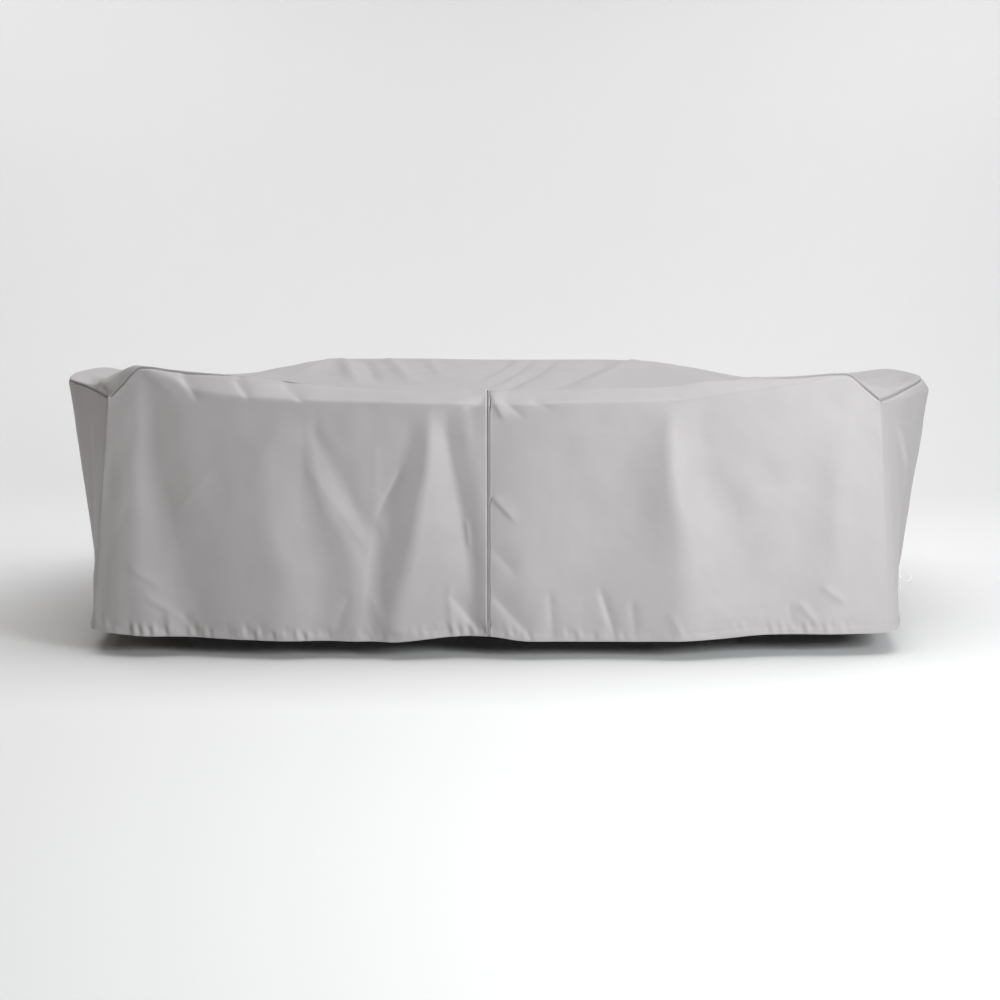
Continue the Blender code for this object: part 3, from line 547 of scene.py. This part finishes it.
def rounded_profile(seam, ridge, hem, shares):
    """Points at these shares of each cloth length from seam to hem, over a rounded ridge."""
    cut_above = np.minimum(ROLL, ROLL_SHARE * np.linalg.norm(ridge - seam, axis=1)[:, None])
    cut_below = np.minimum(ROLL, ROLL_BELOW * cut_above + ROLL_LEAST)
    start = ridge - unit(ridge - seam) * cut_above
    end = ridge + unit(hem - ridge) * cut_below
    fine = [seam + t * (start - seam) for t in np.linspace(0, 1, 5)[:-1]]
    for t in np.linspace(0, 1, 40):
        fine.append((1 - t) ** 2 * start + 2 * t * (1 - t) * ridge + t**2 * end)
    fine += [end + t * (hem - end) for t in np.linspace(0, 1, 9)[1:]]
    fine = np.stack(fine, axis=1)
    lengths = lengths_along(fine)
    grid = np.empty((len(fine), len(shares), 3))
    for i, (points, length) in enumerate(zip(fine, lengths)):
        for axis in range(3):
            grid[i, :, axis] = np.interp(np.array(shares) * length[-1], length, points[:, axis])
    return grid, lengths[:, -1]


def grid_normals(grid, outward):
    """Unit normals of a grid of points, on the side that `outward` points to."""
    normals = unit(np.cross(np.gradient(grid, axis=0), np.gradient(grid, axis=1)))
    return normals * np.sign((normals * outward).sum(axis=2))[:, :, None]


def fold_depth(folds, at, height):
    """How far soft folds move a wall outwards, at each place and height."""
    depth = np.zeros_like(at)
    for row in folds:
        fold = dict(zip(FOLD_COLUMNS, row))
        fall = (fold["top"] - height) / (fold["top"] - fold["foot"])
        reach = np.clip(fall, 0, 1)
        middle = fold["top_at"] + reach * (fold["foot_at"] - fold["top_at"])
        half = fold["top_half"] + reach * (fold["foot_half"] - fold["top_half"])
        swell = ease(fall * FOLD_SWELL) * (FOLD_START + (1 - FOLD_START) * reach)
        depth += fold["depth"] * swell * np.exp(-(((at - middle) / half) ** 2))
    return depth


def track_lines(tracks, level):
    """Where each crest and valley line runs at these heights, how far out, and how softly rounded."""
    lines = []
    for row in tracks:
        track = dict(zip(TRACK_COLUMNS, row))
        places = np.array([track[name] for name in TRACK_COLUMNS if name.startswith("at_")])
        depths = np.array([track[name] for name in TRACK_COLUMNS if name.startswith("depth_")])
        place = curve_through(np.array(TRACK_HEIGHTS), places, level)
        lines.append((place, curve_through(np.array(DEPTH_HEIGHTS), depths, level), track["round"]))
    return lines


def track_depth(tracks, at, height):
    """How far the cloth stands out between crest and valley lines: even slopes, rounded at each."""
    lowest, highest = TRACK_HEIGHTS[0], TRACK_HEIGHTS[-1]
    level = np.clip(height, lowest, highest)
    lines = track_lines(tracks, level)
    slopes = [(b[1] - a[1]) / (b[0] - a[0]) for a, b in zip(lines[:-1], lines[1:])]
    depth = np.zeros_like(at)
    for (place, value, _), (after, _, _), slope in zip(lines[:-1], lines[1:], slopes):
        depth = np.where((at >= place) & (at < after), value + slope * (at - place), depth)
    softer = 1 + FOOT_SOFTER * (highest - level) / (highest - lowest)
    for (place, _, soft), left, right in zip(lines[1:-1], slopes[:-1], slopes[1:]):
        soft = soft * softer
        near = np.clip(soft - np.abs(at - place), 0, None)
        depth += (right - left) * near**2 / (4 * soft)
    return depth


def along_line(start, end, at, up):
    """How much of the way along a line each place is, and how far it lies to the line's right."""
    run = end - start
    long = math.hypot(*run)
    share = ((at - start[0]) * run[0] + (up - start[1]) * run[1]) / long**2
    aside = ((at - start[0]) * run[1] - (up - start[1]) * run[0]) / long
    return share, aside


def crease_depth(creases, at, up):
    """How far sharp creases lift or lower the cloth at each place."""
    quick_start, early = CREASE_START
    quick_end, late = CREASE_END
    depth = np.zeros_like(at)
    for row in creases:
        crease = dict(zip(CREASE_COLUMNS, row))
        share, aside = along_line(row[:2], row[2:4], at, up)
        half = np.where(aside > 0, crease["right"], crease["left"])
        swell = ease(share * quick_start + early) * (1 - ease(share * quick_end - late))
        depth += crease["depth"] * swell * np.exp(-(np.abs(aside / half) ** CREASE_SHARP))
    return depth


def top_fold_depth(x, y):
    """How far the folds of the top cloth lift or lower it at each place."""
    early, quick_start = TOP_FOLD_START
    late, quick_end = TOP_FOLD_END
    depth = np.zeros_like(x)
    for row in TOP_FOLDS:
        fold = dict(zip(TOP_FOLD_COLUMNS, row))
        share, aside = along_line(row[:2], row[2:4], x, y)
        swell = ease((share + early) * quick_start) * (1 - ease((share - late) * quick_end))
        depth += fold["depth"] * swell * np.exp(-((aside / fold["half"]) ** 2))
    return depth


# Fine grids


def spread(start, end, step, close_start=True, close_end=True):
    """Places from start to end, closer together beside a seam."""
    near = np.array(NEAR_SEAM)
    first = start + near[-1] if close_start else start
    last = end - near[-1] if close_end else end
    parts = [np.linspace(first, last, round((last - first) / step) + 1)]
    if close_start:
        parts.insert(0, start + near[:-1])
    if close_end:
        parts.append(end - near[-2::-1])
    return np.concatenate(parts)


def bell(distance, reach):
    """1 at no distance, falling to almost nothing at twice the reach."""
    return np.exp(-((distance / reach) ** 2))


def puckers(along, away, shape, seed):
    """Uneven puckers side by side, leaning away from the seam, stronger and weaker in turn."""
    long, lean, stretch, group = shape
    strength = 0.6 + 0.4 * unevenness(along, away * 0, group * long, seed + 1)
    return strength * unevenness(along + lean * away, away * stretch, long, seed)


def beside_seam(distance, along, seed):
    """The soft rise and the puckers of the cloth beside a seam. Nothing at the seam itself."""
    pucker = puckers(along, distance, SEAM_PUCKER_SHAPE, seed)
    near = (1 - bell(distance, SEAM_RISE_START)) * np.exp(-distance / SEAM_PUCKER_REACH)
    return (SEAM_RISE + SEAM_PUCKER * pucker) * near


def uneven_cloth(u, v, seed):
    """The small unevenness of slack cloth, at several sizes."""
    more, less = UNEVEN_TURN
    turned_u, turned_v = u * more + v * less, v * more - u * less
    depth = np.zeros_like(u)
    for i, (size, height) in enumerate(UNEVEN):
        depth += height * unevenness(turned_u, turned_v, size / 2, seed + i)
    return depth


def near_corner(x):
    """1 near the ends of the front, falling to 0 along its middle, where the top seam lies flat."""
    quick, late = CORNER_PART
    return ease(np.abs(x) * quick - late)


def hem_shape(from_hem, along, seed, height):
    """The doubled hem: a little thicker than the cloth, drawn in along its stitches, puckered."""
    band = HEM_THICK * ease((HEM_LINE + HEM_STEP - from_hem) / HEM_STEP)
    stitched = HEM_DRAWN * bell(from_hem - HEM_LINE, HEM_DRAWN_REACH)
    pucker = puckers(along, from_hem, HEM_PUCKER_SHAPE, seed)
    return band - stitched + height * pucker * bell(from_hem - HEM_LINE, HEM_PUCKER_REACH)


def turned_edge(grid, normals, radius, back):
    """The grid with its last row turned round a small radius and carried back on the inside."""
    edge, outward = grid[:, -1], normals[:, -1]
    onward = unit(edge - grid[:, -2])
    rows = []
    for angle in np.linspace(0, math.pi, 7)[1:]:
        sideways, inwards = radius * math.sin(angle), radius * (1 - math.cos(angle))
        rows.append(edge + onward * sideways - outward * inwards)
    for k in range(2, back + 2):
        rows.append(grid[:, -k] - normals[:, -k] * 2 * radius)
    return np.concatenate([grid, np.stack(rows, axis=1)], axis=1)


def wall_rows(side, at, step):
    """Distances down a wall from its seam, closer together beside the seam and at the hem."""
    total = rounded_profile(*side.levels(at[:: len(at) // 8]), (0, 1))[1].mean()
    down = spread(0, total - HEM_ROWS[0], step, True, False)
    return np.concatenate([down, total - np.array(HEM_ROWS[1:])]) / total


def wall_folds(side, at, places, height, from_corner):
    """How far the folds and the creases of one wall move it outwards."""
    from_seam = side.read("seam", at)[:, None] - height
    fade = ease(from_corner / CORNER_FADE) * ease(from_seam / SEAM_FADE)
    if side.name == "front":
        from_ridge = side.read("ridge", at)[:, None] - height
        fade *= FRONT_DEEP * ease(from_ridge / RIDGE_FADE)
        depth = track_depth(FRONT_TRACKS, places, height) * fade
        return depth + crease_depth(FRONT_CREASES, places, height)
    depth = fold_depth(SIDE_FOLDS[side.name], places, height) * fade
    if side.name == "right":
        depth += crease_depth(RIGHT_CREASES, places, height)
    return depth


def seam_groove(side, places, down, from_corner):
    """The narrow groove in a wall just below the top seam."""
    if side.name == "back":
        return 0
    groove = ease(down / GROOVE_START) * bell(down, GROOVE_REACH) * ease(from_corner / GROOVE_END)
    return GROOVE * groove * (near_corner(places) if side.name == "front" else 1)


def lap_shape(from_lap, height, lapped):
    """How far the cloth stands out at the centre seam, above the lap or, if lapped is -1, below it."""
    if lapped > 0:
        drop, wide = LAP_EDGE
        edge = drop * np.clip(1 + from_lap / wide, 0, 1) ** 2
        return LAP_PROUD * ease(1 + from_lap / LAP_RISE) - edge
    wide = np.interp(height, LAP_FALL_HEIGHTS, LAP_FALL)
    return -LAP_UNDER * np.exp(-np.clip(from_lap, 0, None) / wide)


def wall_surface(side, at, seed, lapped):
    """The outer face of one wall or half wall, with all its folds, creases and puckers."""
    shares = wall_rows(side, at, DROP_STEPS[side.name])
    grid, lengths = rounded_profile(*side.levels(at), shares)
    normals = grid_normals(grid, side.outward + UPWARD_LEAN)
    places, height = grid @ side.along, grid[:, :, 2]
    down = lengths[:, None] * shares[None, :]
    start, end = side.ends
    from_corner = np.minimum(at - start, end - at)[:, None] + np.zeros_like(height)
    depth = wall_folds(side, at, places, height, from_corner)
    clear = (1 - bell(down, SEAM_CLEAR)) * (1 - bell(from_corner, SEAM_CLEAR))
    depth += uneven_cloth(places, down, seed) * clear
    depth += beside_seam(down, places, seed + 10)
    depth += CORNER_RISE * beside_seam(from_corner, down, seed + 20) * ease(down / CROSSING_FADE)
    puckered = HEM_PUCKER if lapped > 0 else HEM_PUCKER_FAINT
    hem = hem_shape(lengths[:, None] - down, places, seed + 30, puckered)
    depth += hem * ease(from_corner / HEM_CORNER)
    depth -= seam_groove(side, places, down, from_corner)
    if lapped:
        depth += lap_shape((at - CENTRE_SEAM - LAP)[:, None], height, lapped)
    grid = grid + normals * depth[:, :, None]
    return turned_wall(grid, normals, np.stack([places, down], axis=2))


def turned_wall(grid, normals, uvs):
    """A wall's grid with its top edge turned in and its hem turned under, and its cut places."""
    tucked = turned_edge(grid[:, ::-1], normals[:, ::-1], SEAM_TURN, SEAM_TURN_ROWS)[:, ::-1]
    extra = tucked.shape[1] - grid.shape[1]
    normals = np.concatenate([np.repeat(normals[:, :1], extra, axis=1), normals], axis=1)
    above = np.repeat(uvs[:, :1], extra, axis=1)
    above[:, :, 1] -= np.arange(extra, 0, -1) * TURNED_IN
    grid = turned_edge(tucked, normals, HEM_TURN, len(HEM_ROWS) - 2)
    return grid, np.concatenate([above, uvs], axis=1)


def sag(distance, slope):
    """1 at the seam, falling to 0 where the cloth has come down to its lowest."""
    length, power = slope
    return np.clip(1 - distance / length, 0, 1) ** power


def slack(x, y):
    """Low uneven waves, never below the cloth's lowest."""
    long, wide = SLACK_WAVES
    first = np.sin(math.tau * (x / long + 0.4 * y / wide))
    second = np.sin(math.tau * (y / wide - 0.3 * x / long) + 1)
    return SLACK * (1 + first * second)


def top_edges(sides, u, v):
    """The four seams of the top, each at its own shares of the way along."""
    seams = []
    for side, share in zip(sides, (u, u, v, v)):
        start, end = side.ends
        seams.append(side.levels(start + share * (end - start))[0])
    return seams


def top_sheet(sides, u, v):
    """The smooth top between its four seams, sagging to LOWEST_TOP."""
    front, back, left, right = top_edges(sides, u, v)
    corners = (front[0], front[-1], back[0], back[-1])
    front, back, left, right = front[:, None], back[:, None], left[None], right[None]
    u, v = u[:, None, None], v[None, :, None]
    flat = (1 - v) * front + v * back + (1 - u) * left + u * right
    flat = flat - (1 - u) * (1 - v) * corners[0] - u * (1 - v) * corners[1]
    flat = flat - (1 - u) * v * corners[2] - u * v * corners[3]
    from_front, from_back = sag(v * DEPTH, FRONT_SLOPE), sag((1 - v) * DEPTH, BACK_SLOPE)
    from_left, from_right = sag(u * WIDTH, END_SLOPE), sag((1 - u) * WIDTH, END_SLOPE)
    rise = np.zeros_like(flat[:, :, :1])
    for share, edge in ((from_front, front), (from_back, back), (from_left, left), (from_right, right)):
        rise = rise + share * (edge[:, :, 2:] - LOWEST_TOP)
    for share, other, corner in (
        (from_front, from_left, corners[0]), (from_front, from_right, corners[1]),
        (from_back, from_left, corners[2]), (from_back, from_right, corners[3]),
    ):  # fmt: skip
        rise = rise - share * other * (corner[2] - LOWEST_TOP)
    return np.concatenate([flat[:, :, :2], LOWEST_TOP + rise], axis=2)


def top_surface(sides, seed):
    """The top cloth with its folds, creases and puckers, and how it dips at its seams."""
    across = spread(*sides[0].ends, TOP_STEP)
    along = spread(-DEPTH / 2, DEPTH / 2, TOP_STEP)
    u = (across - across[0]) / (across[-1] - across[0])
    v = (along - along[0]) / (along[-1] - along[0])
    grid = top_sheet(sides, u, v)
    x, y = grid[:, :, 0], grid[:, :, 1]
    u, v = u[:, None] + np.zeros_like(x), v[None] + np.zeros_like(x)
    from_front, from_back = v * DEPTH, (1 - v) * DEPTH
    from_sides, from_ends = np.minimum(v, 1 - v) * DEPTH, np.minimum(u, 1 - u) * WIDTH
    inside = np.minimum(from_ends, from_sides)
    grid[:, :, 2] += (top_fold_depth(x, y) + slack(x, y)) * ease(inside / SEAM_FADE)
    normals = grid_normals(grid, np.array((0, 0, 1)))
    clear = 1 - bell(inside, SEAM_CLEAR)
    depth = uneven_cloth(x, y, seed) * clear
    depth += crease_depth(TOP_CREASES, x, y) * clear * ease(from_front / SEAM_FADE)
    depth += beside_seam(from_sides, x, seed + 10) * ease(from_ends / CROSSING_FADE)
    depth += beside_seam(from_ends, y, seed + 20) * ease(from_sides / CROSSING_FADE)
    depth -= SEAM_SINK * bell(from_back, SEAM_SINK_REACH)
    lip = np.maximum(bell(from_ends, LIP_REACH), near_corner(x) * bell(from_sides, LIP_REACH))
    depth -= LIP_DROP * lip * (from_back > LIP_FROM_BACK)
    return grid + normals * depth[:, :, None], np.stack([x, y], axis=2)


# Pieces


def placed(name, data):
    """A new object in the scene."""
    made = bpy.data.objects.new(name, data)
    bpy.context.scene.collection.objects.link(made)
    return made


def piece_mesh(name, points, faces, material, slot=None, uvs=None):
    """A smooth mesh, riding on the cover if it has a slot, with the cut cloth's places as its UVs."""
    mesh = bpy.data.meshes.new(name)
    mesh.from_pydata(points.tolist(), [], faces.tolist())
    if uvs is not None:
        layer = mesh.uv_layers.new(name="cloth")
        corners = np.empty(len(mesh.loops), dtype=int)
        mesh.loops.foreach_get("vertex_index", corners)
        layer.data.foreach_set("uv", uvs[corners].ravel())
    mesh.shade_smooth()
    mesh.update()
    mesh.materials.append(material)
    piece = placed(name, mesh)
    if slot:
        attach(piece, "root")
    return piece


def cloth_piece(name, grid, uvs, up, material):
    """One sheet of cloth from a grid of points, with its cut size measured along it as its UVs."""
    columns, rows = grid.shape[:2]
    extra = rows - uvs.shape[1]
    if extra:
        uvs = np.concatenate([uvs, np.repeat(uvs[:, -1:], extra, axis=1)], axis=1)
        uvs[:, -extra:, 1] += np.arange(1, extra + 1) * TURNED_UNDER
    index = np.arange(columns * rows).reshape(columns, rows)
    corners = [index[:-1, :-1], index[1:, :-1], index[1:, 1:], index[:-1, 1:]]
    if up < 0:
        corners = corners[::-1]
    faces = np.stack([corner.ravel() for corner in corners], axis=1)
    points = grid.reshape(-1, 3) - (0, 0, MOUNT_HEIGHT)
    return piece_mesh(name, points, faces, material, "cover_cloth", uvs.reshape(-1, 2))


def stitch_points(centre, out):
    """The points of one stitch: its pointed ends, and two rings of five between them."""
    beside = np.cross(unit(centre[-1] - centre[0]), out)
    points = [centre[0] - out * STITCH_THICK * 0.3]
    for middle in centre[1:3]:
        for angle in np.linspace(0, math.tau, 6)[:-1]:
            turn = beside * math.cos(angle) + out * (0.6 * math.sin(angle) + 0.35)
            points.append(middle + turn * STITCH_THICK)
    points.append(centre[-1] - out * STITCH_THICK * 0.3)
    return points


def stitch_faces(first):
    """The faces of one stitch whose points begin at `first`."""
    faces = []
    for k in range(5):
        after = (k + 1) % 5
        faces.append((first, first + 1 + after, first + 1 + k))
        faces.append((first + 1 + k, first + 1 + after, first + 6 + after))
        faces.append((first + 1 + k, first + 6 + after, first + 6 + k))
        faces.append((first + 11, first + 6 + k, first + 6 + after))
    return faces


def stitch_piece(name, lines, material):
    """Small stitches lying along lines of points, with the way out of the cloth at each point."""
    points, faces = [], []
    for line, outward in lines:
        places = lengths_along(line)
        for begin in np.arange(STITCH_PITCH, places[-1] - STITCH_PITCH, STITCH_PITCH):
            at = begin + np.array([0, 0.25, 0.75, 1]) * STITCH_LONG
            centre = np.stack([np.interp(at, places, line[:, k]) for k in range(3)], axis=1)
            out = np.array([np.interp(begin, places, outward[:, k]) for k in range(3)])
            faces += stitch_faces(len(points))
            points += stitch_points(centre, unit(out))
    points = np.array(points) - (0, 0, MOUNT_HEIGHT)
    return piece_mesh(name, points, np.array(faces), material, "cover_cloth")


# Materials


def set_inputs(node, **values):
    """Set a node's inputs by name, with an underscore for each space."""
    for name, value in values.items():
        node.inputs[name.replace("_", " ")].default_value = value


def new_material(name):
    """A material, with its nodes, its links and its shader."""
    made = bpy.data.materials.new(name)
    made.use_nodes = True
    tree = made.node_tree
    return made, tree.nodes, tree.links, tree.nodes["Principled BSDF"]


def set_colour(nodes, links, shader, share, dark, light):
    """Colour the shader between dark and light by a node's share."""
    tint = nodes.new("ShaderNodeMix")
    tint.data_type = "RGBA"
    set_inputs(tint, A=dark, B=light)
    links.new(share, tint.inputs["Factor"])
    links.new(tint.outputs["Result"], shader.inputs["Base Color"])


def set_bump(nodes, links, shader, height, strength, distance):
    """Raise the shader's surface by a node's height."""
    bump = nodes.new("ShaderNodeBump")
    set_inputs(bump, Strength=strength, Distance=distance)
    links.new(height, bump.inputs["Height"])
    links.new(bump.outputs["Normal"], shader.inputs["Normal"])


def cloth_material():
    """Coated canvas: warm grey, faintly uneven in colour and gloss, with a fine plain weave."""
    made, nodes, links, shader = new_material("cover_canvas")
    set_inputs(shader, Specular_IOR_Level=CLOTH_SPECULAR)
    where = nodes.new("ShaderNodeUVMap")
    where.uv_map = "cloth"
    cloud = nodes.new("ShaderNodeTexNoise")
    set_inputs(cloud, Scale=9, Detail=5, Roughness=0.6)
    links.new(where.outputs["UV"], cloud.inputs["Vector"])
    set_colour(nodes, links, shader, cloud.outputs["Fac"], CLOTH_DARK, CLOTH_LIGHT)
    gloss = nodes.new("ShaderNodeMapRange")
    set_inputs(gloss, To_Min=CLOTH_ROUGHNESS - 0.04, To_Max=CLOTH_ROUGHNESS + 0.04)
    links.new(cloud.outputs["Fac"], gloss.inputs["Value"])
    links.new(gloss.outputs["Result"], shader.inputs["Roughness"])
    weave = nodes.new("ShaderNodeMath")
    weave.operation = "MULTIPLY"
    for i, axis in enumerate(("X", "Y")):
        wave = nodes.new("ShaderNodeTexWave")
        wave.bands_direction = axis
        set_inputs(wave, Scale=WEAVE_SCALE, Distortion=0.6, Detail=1)
        links.new(where.outputs["UV"], wave.inputs["Vector"])
        links.new(wave.outputs["Fac"], weave.inputs[i])
    set_bump(nodes, links, shader, weave.outputs["Value"], 0.35, WEAVE_DEEP)
    return made


def cord_material():
    """Thin white braid, with a slanting rib, its grooves darker as painted shade."""
    made, nodes, links, shader = new_material("tie_braid")
    set_inputs(shader, Roughness=0.75)
    where = nodes.new("ShaderNodeTexCoord")
    rib = nodes.new("ShaderNodeTexWave")
    rib.bands_direction = "DIAGONAL"
    set_inputs(rib, Scale=220, Distortion=1.5)
    links.new(where.outputs["Object"], rib.inputs["Vector"])
    # The rib's low bands are coloured darker: painted shade in its grooves, not a second colour of yarn.
    set_colour(nodes, links, shader, rib.outputs["Fac"], BRAID_GROOVE_SHADE, BRAID_LIGHT)
    set_bump(nodes, links, shader, rib.outputs["Fac"], 0.5, 0.0004)
    return made


def thread_material():
    """Grey-brown sewing thread, uneven in colour along its twist."""
    made, nodes, links, shader = new_material("sewing_thread")
    set_inputs(shader, Roughness=0.6)
    where = nodes.new("ShaderNodeTexCoord")
    twist = nodes.new("ShaderNodeTexNoise")
    set_inputs(twist, Scale=400)
    links.new(where.outputs["Object"], twist.inputs["Vector"])
    set_colour(nodes, links, shader, twist.outputs["Fac"], THREAD_DARK, THREAD_LIGHT)
    return made


# The tie


def smooth_route(points, step):
    """Points `step` apart on a smooth curve through the route's own points."""
    places = lengths_along(points)
    at = np.linspace(0, places[-1], round(places[-1] / step) + 1)
    return np.stack([curve_through(places, points[:, axis], at) for axis in range(3)], axis=1)


def tie_place(right):
    """Where the knot sits on the right end's wall, and the three ways its routes are measured."""
    at = np.array([TIE_AT - 0.02, TIE_AT, TIE_AT + 0.02])
    grid, _ = rounded_profile(*right.levels(at), np.linspace(0, 1, 200))
    normals = grid_normals(grid, right.outward + UPWARD_LEAN)
    depth = fold_depth(RIGHT_FOLDS, grid @ right.along, grid[:, :, 2])
    grid = grid + normals * depth[:, :, None]
    row = int(np.argmin(np.abs(grid[1, :, 2] - TIE_HEIGHT)))
    towards_front = grid[0, row] - grid[2, row]
    towards_front = unit(towards_front * (1, 1, 0))
    outwards = np.array([-towards_front[1], towards_front[0], 0])
    centre = grid[1, row] + outwards * TIE_CLEAR - (0, 0, MOUNT_HEIGHT)
    return centre, np.array([outwards, towards_front, (0, 0, 1)])


def knot_piece(centre, ways, material):
    """The knot: one cord wound over itself in three tight turns."""
    turns = np.linspace(0, math.tau, 60, endpoint=False)
    inner, outer = KNOT_WIND
    radius = inner + outer * np.cos(3 * turns)
    path = np.stack([
        radius * np.sin(2 * turns) * 0.8, radius * np.cos(2 * turns), outer * 1.4 * np.sin(3 * turns),
    ], axis=1)  # fmt: skip
    path = centre + path @ ways
    ahead = unit(np.roll(path, -1, axis=0) - np.roll(path, 1, axis=0))
    beside = unit(np.cross(ahead, ways[0]))
    above = np.cross(beside, ahead)
    around = np.linspace(0, math.tau, 10, endpoint=False)[None, :, None]
    ring = beside[:, None] * np.cos(around) + above[:, None] * np.sin(around)
    points = (path[:, None] + ring * TIE_THICK / 2).reshape(-1, 3)
    index = np.arange(len(points)).reshape(ring.shape[:2])
    after, beyond = np.roll(index, -1, axis=0), np.roll(index, -1, axis=1)
    faces = np.stack([index, after, np.roll(after, -1, axis=1), beyond], axis=2).reshape(-1, 4)
    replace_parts(piece_mesh("knot_of_tie", points, faces, material, "tie_cord"), "tie_knot")


def cord_piece(name, points, material):
    """A round cord along these points."""
    curve = bpy.data.curves.new(name, "CURVE")
    curve.dimensions = "3D"
    curve.bevel_depth = TIE_THICK / 2
    curve.bevel_resolution = 4
    curve.use_fill_caps = True
    spline = curve.splines.new("POLY")
    spline.points.add(len(points) - 1)
    for target, point in zip(spline.points, points):
        target.co = (*point, 1)
    spline.use_smooth = True
    curve.materials.append(material)
    return placed(name, curve)


def make_tie(right, material):
    """The knot, the two loops and the two free ends."""
    centre, ways = tie_place(right)
    knot_piece(centre, ways, material)
    for name, (node, far_end, route) in TIE_ROUTES.items():
        points = smooth_route(centre + metres(*route) @ ways, TIE_STEP)
        piece = cord_piece(name, points, material)
        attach(piece, "root")
        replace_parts(piece, node)


# The camera, the floor and the light


def make_camera():
    camera = placed("camera", bpy.data.cameras.new("camera"))
    camera.data.lens = CAMERA_LENS
    camera.data.sensor_width = CAMERA_SENSOR
    camera.location = (CAMERA_X, -DEPTH / 2 - CAMERA_AHEAD, CAMERA_HEIGHT - MOUNT_HEIGHT)
    camera.rotation_euler = (math.pi / 2 - CAMERA_DOWN, 0, 0)
    bpy.context.scene.camera = camera


def area_light(name, place, aim, size, energy, colour):
    light = bpy.data.lights.new(name, "AREA")
    light.shape = "RECTANGLE"
    light.size, light.size_y = size
    light.energy = energy
    light.color = colour
    lamp = placed(name, light)
    lamp.location = place
    ray = mathutils.Vector(aim) - mathutils.Vector(place)
    lamp.rotation_euler = ray.to_track_quat("-Z", "Y").to_euler()


def make_floor():
    """A pale floor that curves up into the wall behind."""
    floor = -MOUNT_HEIGHT
    far, curve = STUDIO_BACK, STUDIO_CURVE
    profile = [(-STUDIO_WIDE, floor), (far - curve, floor)]
    for t in np.linspace(0, math.pi / 2, 24)[1:]:
        profile.append((far - curve + curve * math.sin(t), floor + curve * (1 - math.cos(t))))
    profile.append((far, floor + STUDIO_TALL))
    points = [(x, y, z) for x in (-STUDIO_WIDE, STUDIO_WIDE) for y, z in profile]
    count = len(profile)
    faces = [(i, i + count, i + count + 1, i + 1) for i in range(count - 1)]
    paint, _, _, shader = new_material("studio_paint")
    set_inputs(shader, Base_Color=STUDIO_COLOUR, Roughness=0.9, Specular_IOR_Level=0.1)
    piece_mesh("studio", np.array(points), np.array(faces), paint)


def make_lights():
    """The even light of the air, and the soft lamps."""
    world = bpy.data.worlds.new("studio_air")
    world.use_nodes = True
    air = world.node_tree.nodes["Background"]
    set_inputs(air, Color=(1, 1, 1, 1), Strength=AIR_LIGHT)
    bpy.context.scene.world = world
    for row in LIGHTS:
        area_light(*row)
    bpy.context.scene.view_settings.view_transform = "Standard"


# The cover


def half_columns(side):
    """The columns of a wall's two halves. Those of the front reach over and under the lap's fold."""
    start, end = side.ends
    if side.name == "back":
        return spread(start, CENTRE_SEAM, BACK_STEP), spread(CENTRE_SEAM, end, BACK_STEP)
    folded = CENTRE_SEAM + LAP
    over = folded - np.array(LAP_COLUMNS)
    west = spread(start, over[0] - FRONT_STEP, FRONT_STEP, True, False)
    under = [folded - np.array(UNDER_COLUMNS), folded + np.array(NEAR_SEAM)]
    east = spread(folded + UNDER_EVEN_FROM, end, FRONT_STEP, False, True)
    return np.concatenate([west, over]), np.concatenate([*under, east])


def folded_side(grid, uvs):
    """The lapped edge turned round and carried back underneath."""
    inner = grid.shape[1] - uvs.shape[1]
    normals = grid_normals(grid, np.array((0, -1, 0.3)))
    normals[:, -inner:] = normals[:, -inner - 1 : -inner]
    swapped, flipped = grid.swapaxes(0, 1), normals.swapaxes(0, 1)
    turned = turned_edge(swapped, flipped, LAP_TURN, len(LAP_COLUMNS) - 1).swapaxes(0, 1)
    extra = turned.shape[0] - grid.shape[0]
    more = np.repeat(uvs[-1:], extra, axis=0)
    more[:, :, 0] += (np.arange(1, extra + 1) * LAPPED_UNDER)[:, None]
    return turned, np.concatenate([uvs, more])


def make_wall(side, part, at, seed, materials, lapped=0):
    """One wall or half wall of fine cloth with its stitches, in place of its panel. lapped is 1 for
    the half that laps over at the centre seam and -1 for the half under it."""
    canvas, thread = materials
    grid, uvs = wall_surface(side, at, seed, lapped)
    inner = grid.shape[1] - uvs.shape[1]
    normals = grid_normals(grid[:, :-inner], side.outward + UPWARD_LEAN)
    row = uvs.shape[1] - len(HEM_ROWS) + HEM_ROWS.index(HEM_LINE)
    lines = [(grid[:, row], normals[:, row])]
    if lapped > 0:
        column = -len(LAP_COLUMNS)
        lines.append((grid[column, LAP_STITCH_FROM:-inner], normals[column, LAP_STITCH_FROM:]))
        grid, uvs = folded_side(grid, uvs)
    node = f"{side.name}_{part}_panel"
    piece = cloth_piece(f"{side.name}_{part}_cloth", grid, uvs, GRID_TURN[side.name], canvas)
    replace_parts(piece, node)
    stitches = stitch_piece(f"{side.name}_{part}_stitches", lines, thread)


def make_cover():
    """The four walls, the top cloth and the tie."""
    front = Side("front", FRONT, (1, 0, 0), (0, -1, 0), "front_left", "front_right")
    back = Side("back", BACK, (1, 0, 0), (0, 1, 0), "back_left", "back_right")
    left = Side("left", LEFT_END, (0, 1, 0), (-1, 0, 0), "front_left", "back_left")
    right = Side("right", RIGHT_END, (0, 1, 0), (1, 0, 0), "front_right", "back_right")
    materials = cloth_material(), thread_material()
    for side, seed, lapped in ((front, 100, 1), (back, 200, 0)):
        west, east = half_columns(side)
        make_wall(side, "left", west, seed, materials, lapped)
        make_wall(side, "right", east, seed, materials, -lapped)
    for side, seed in ((left, 300), (right, 400)):
        make_wall(side, "end", spread(*side.ends, END_STEP), seed, materials)
    grid, uvs = top_surface((front, back, left, right), 500)
    piece = cloth_piece("top_cloth", grid, uvs, 1, materials[0])
    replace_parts(piece, "top_panel")
    make_tie(right, cord_material())


make_camera()
make_floor()
make_lights()
make_cover()
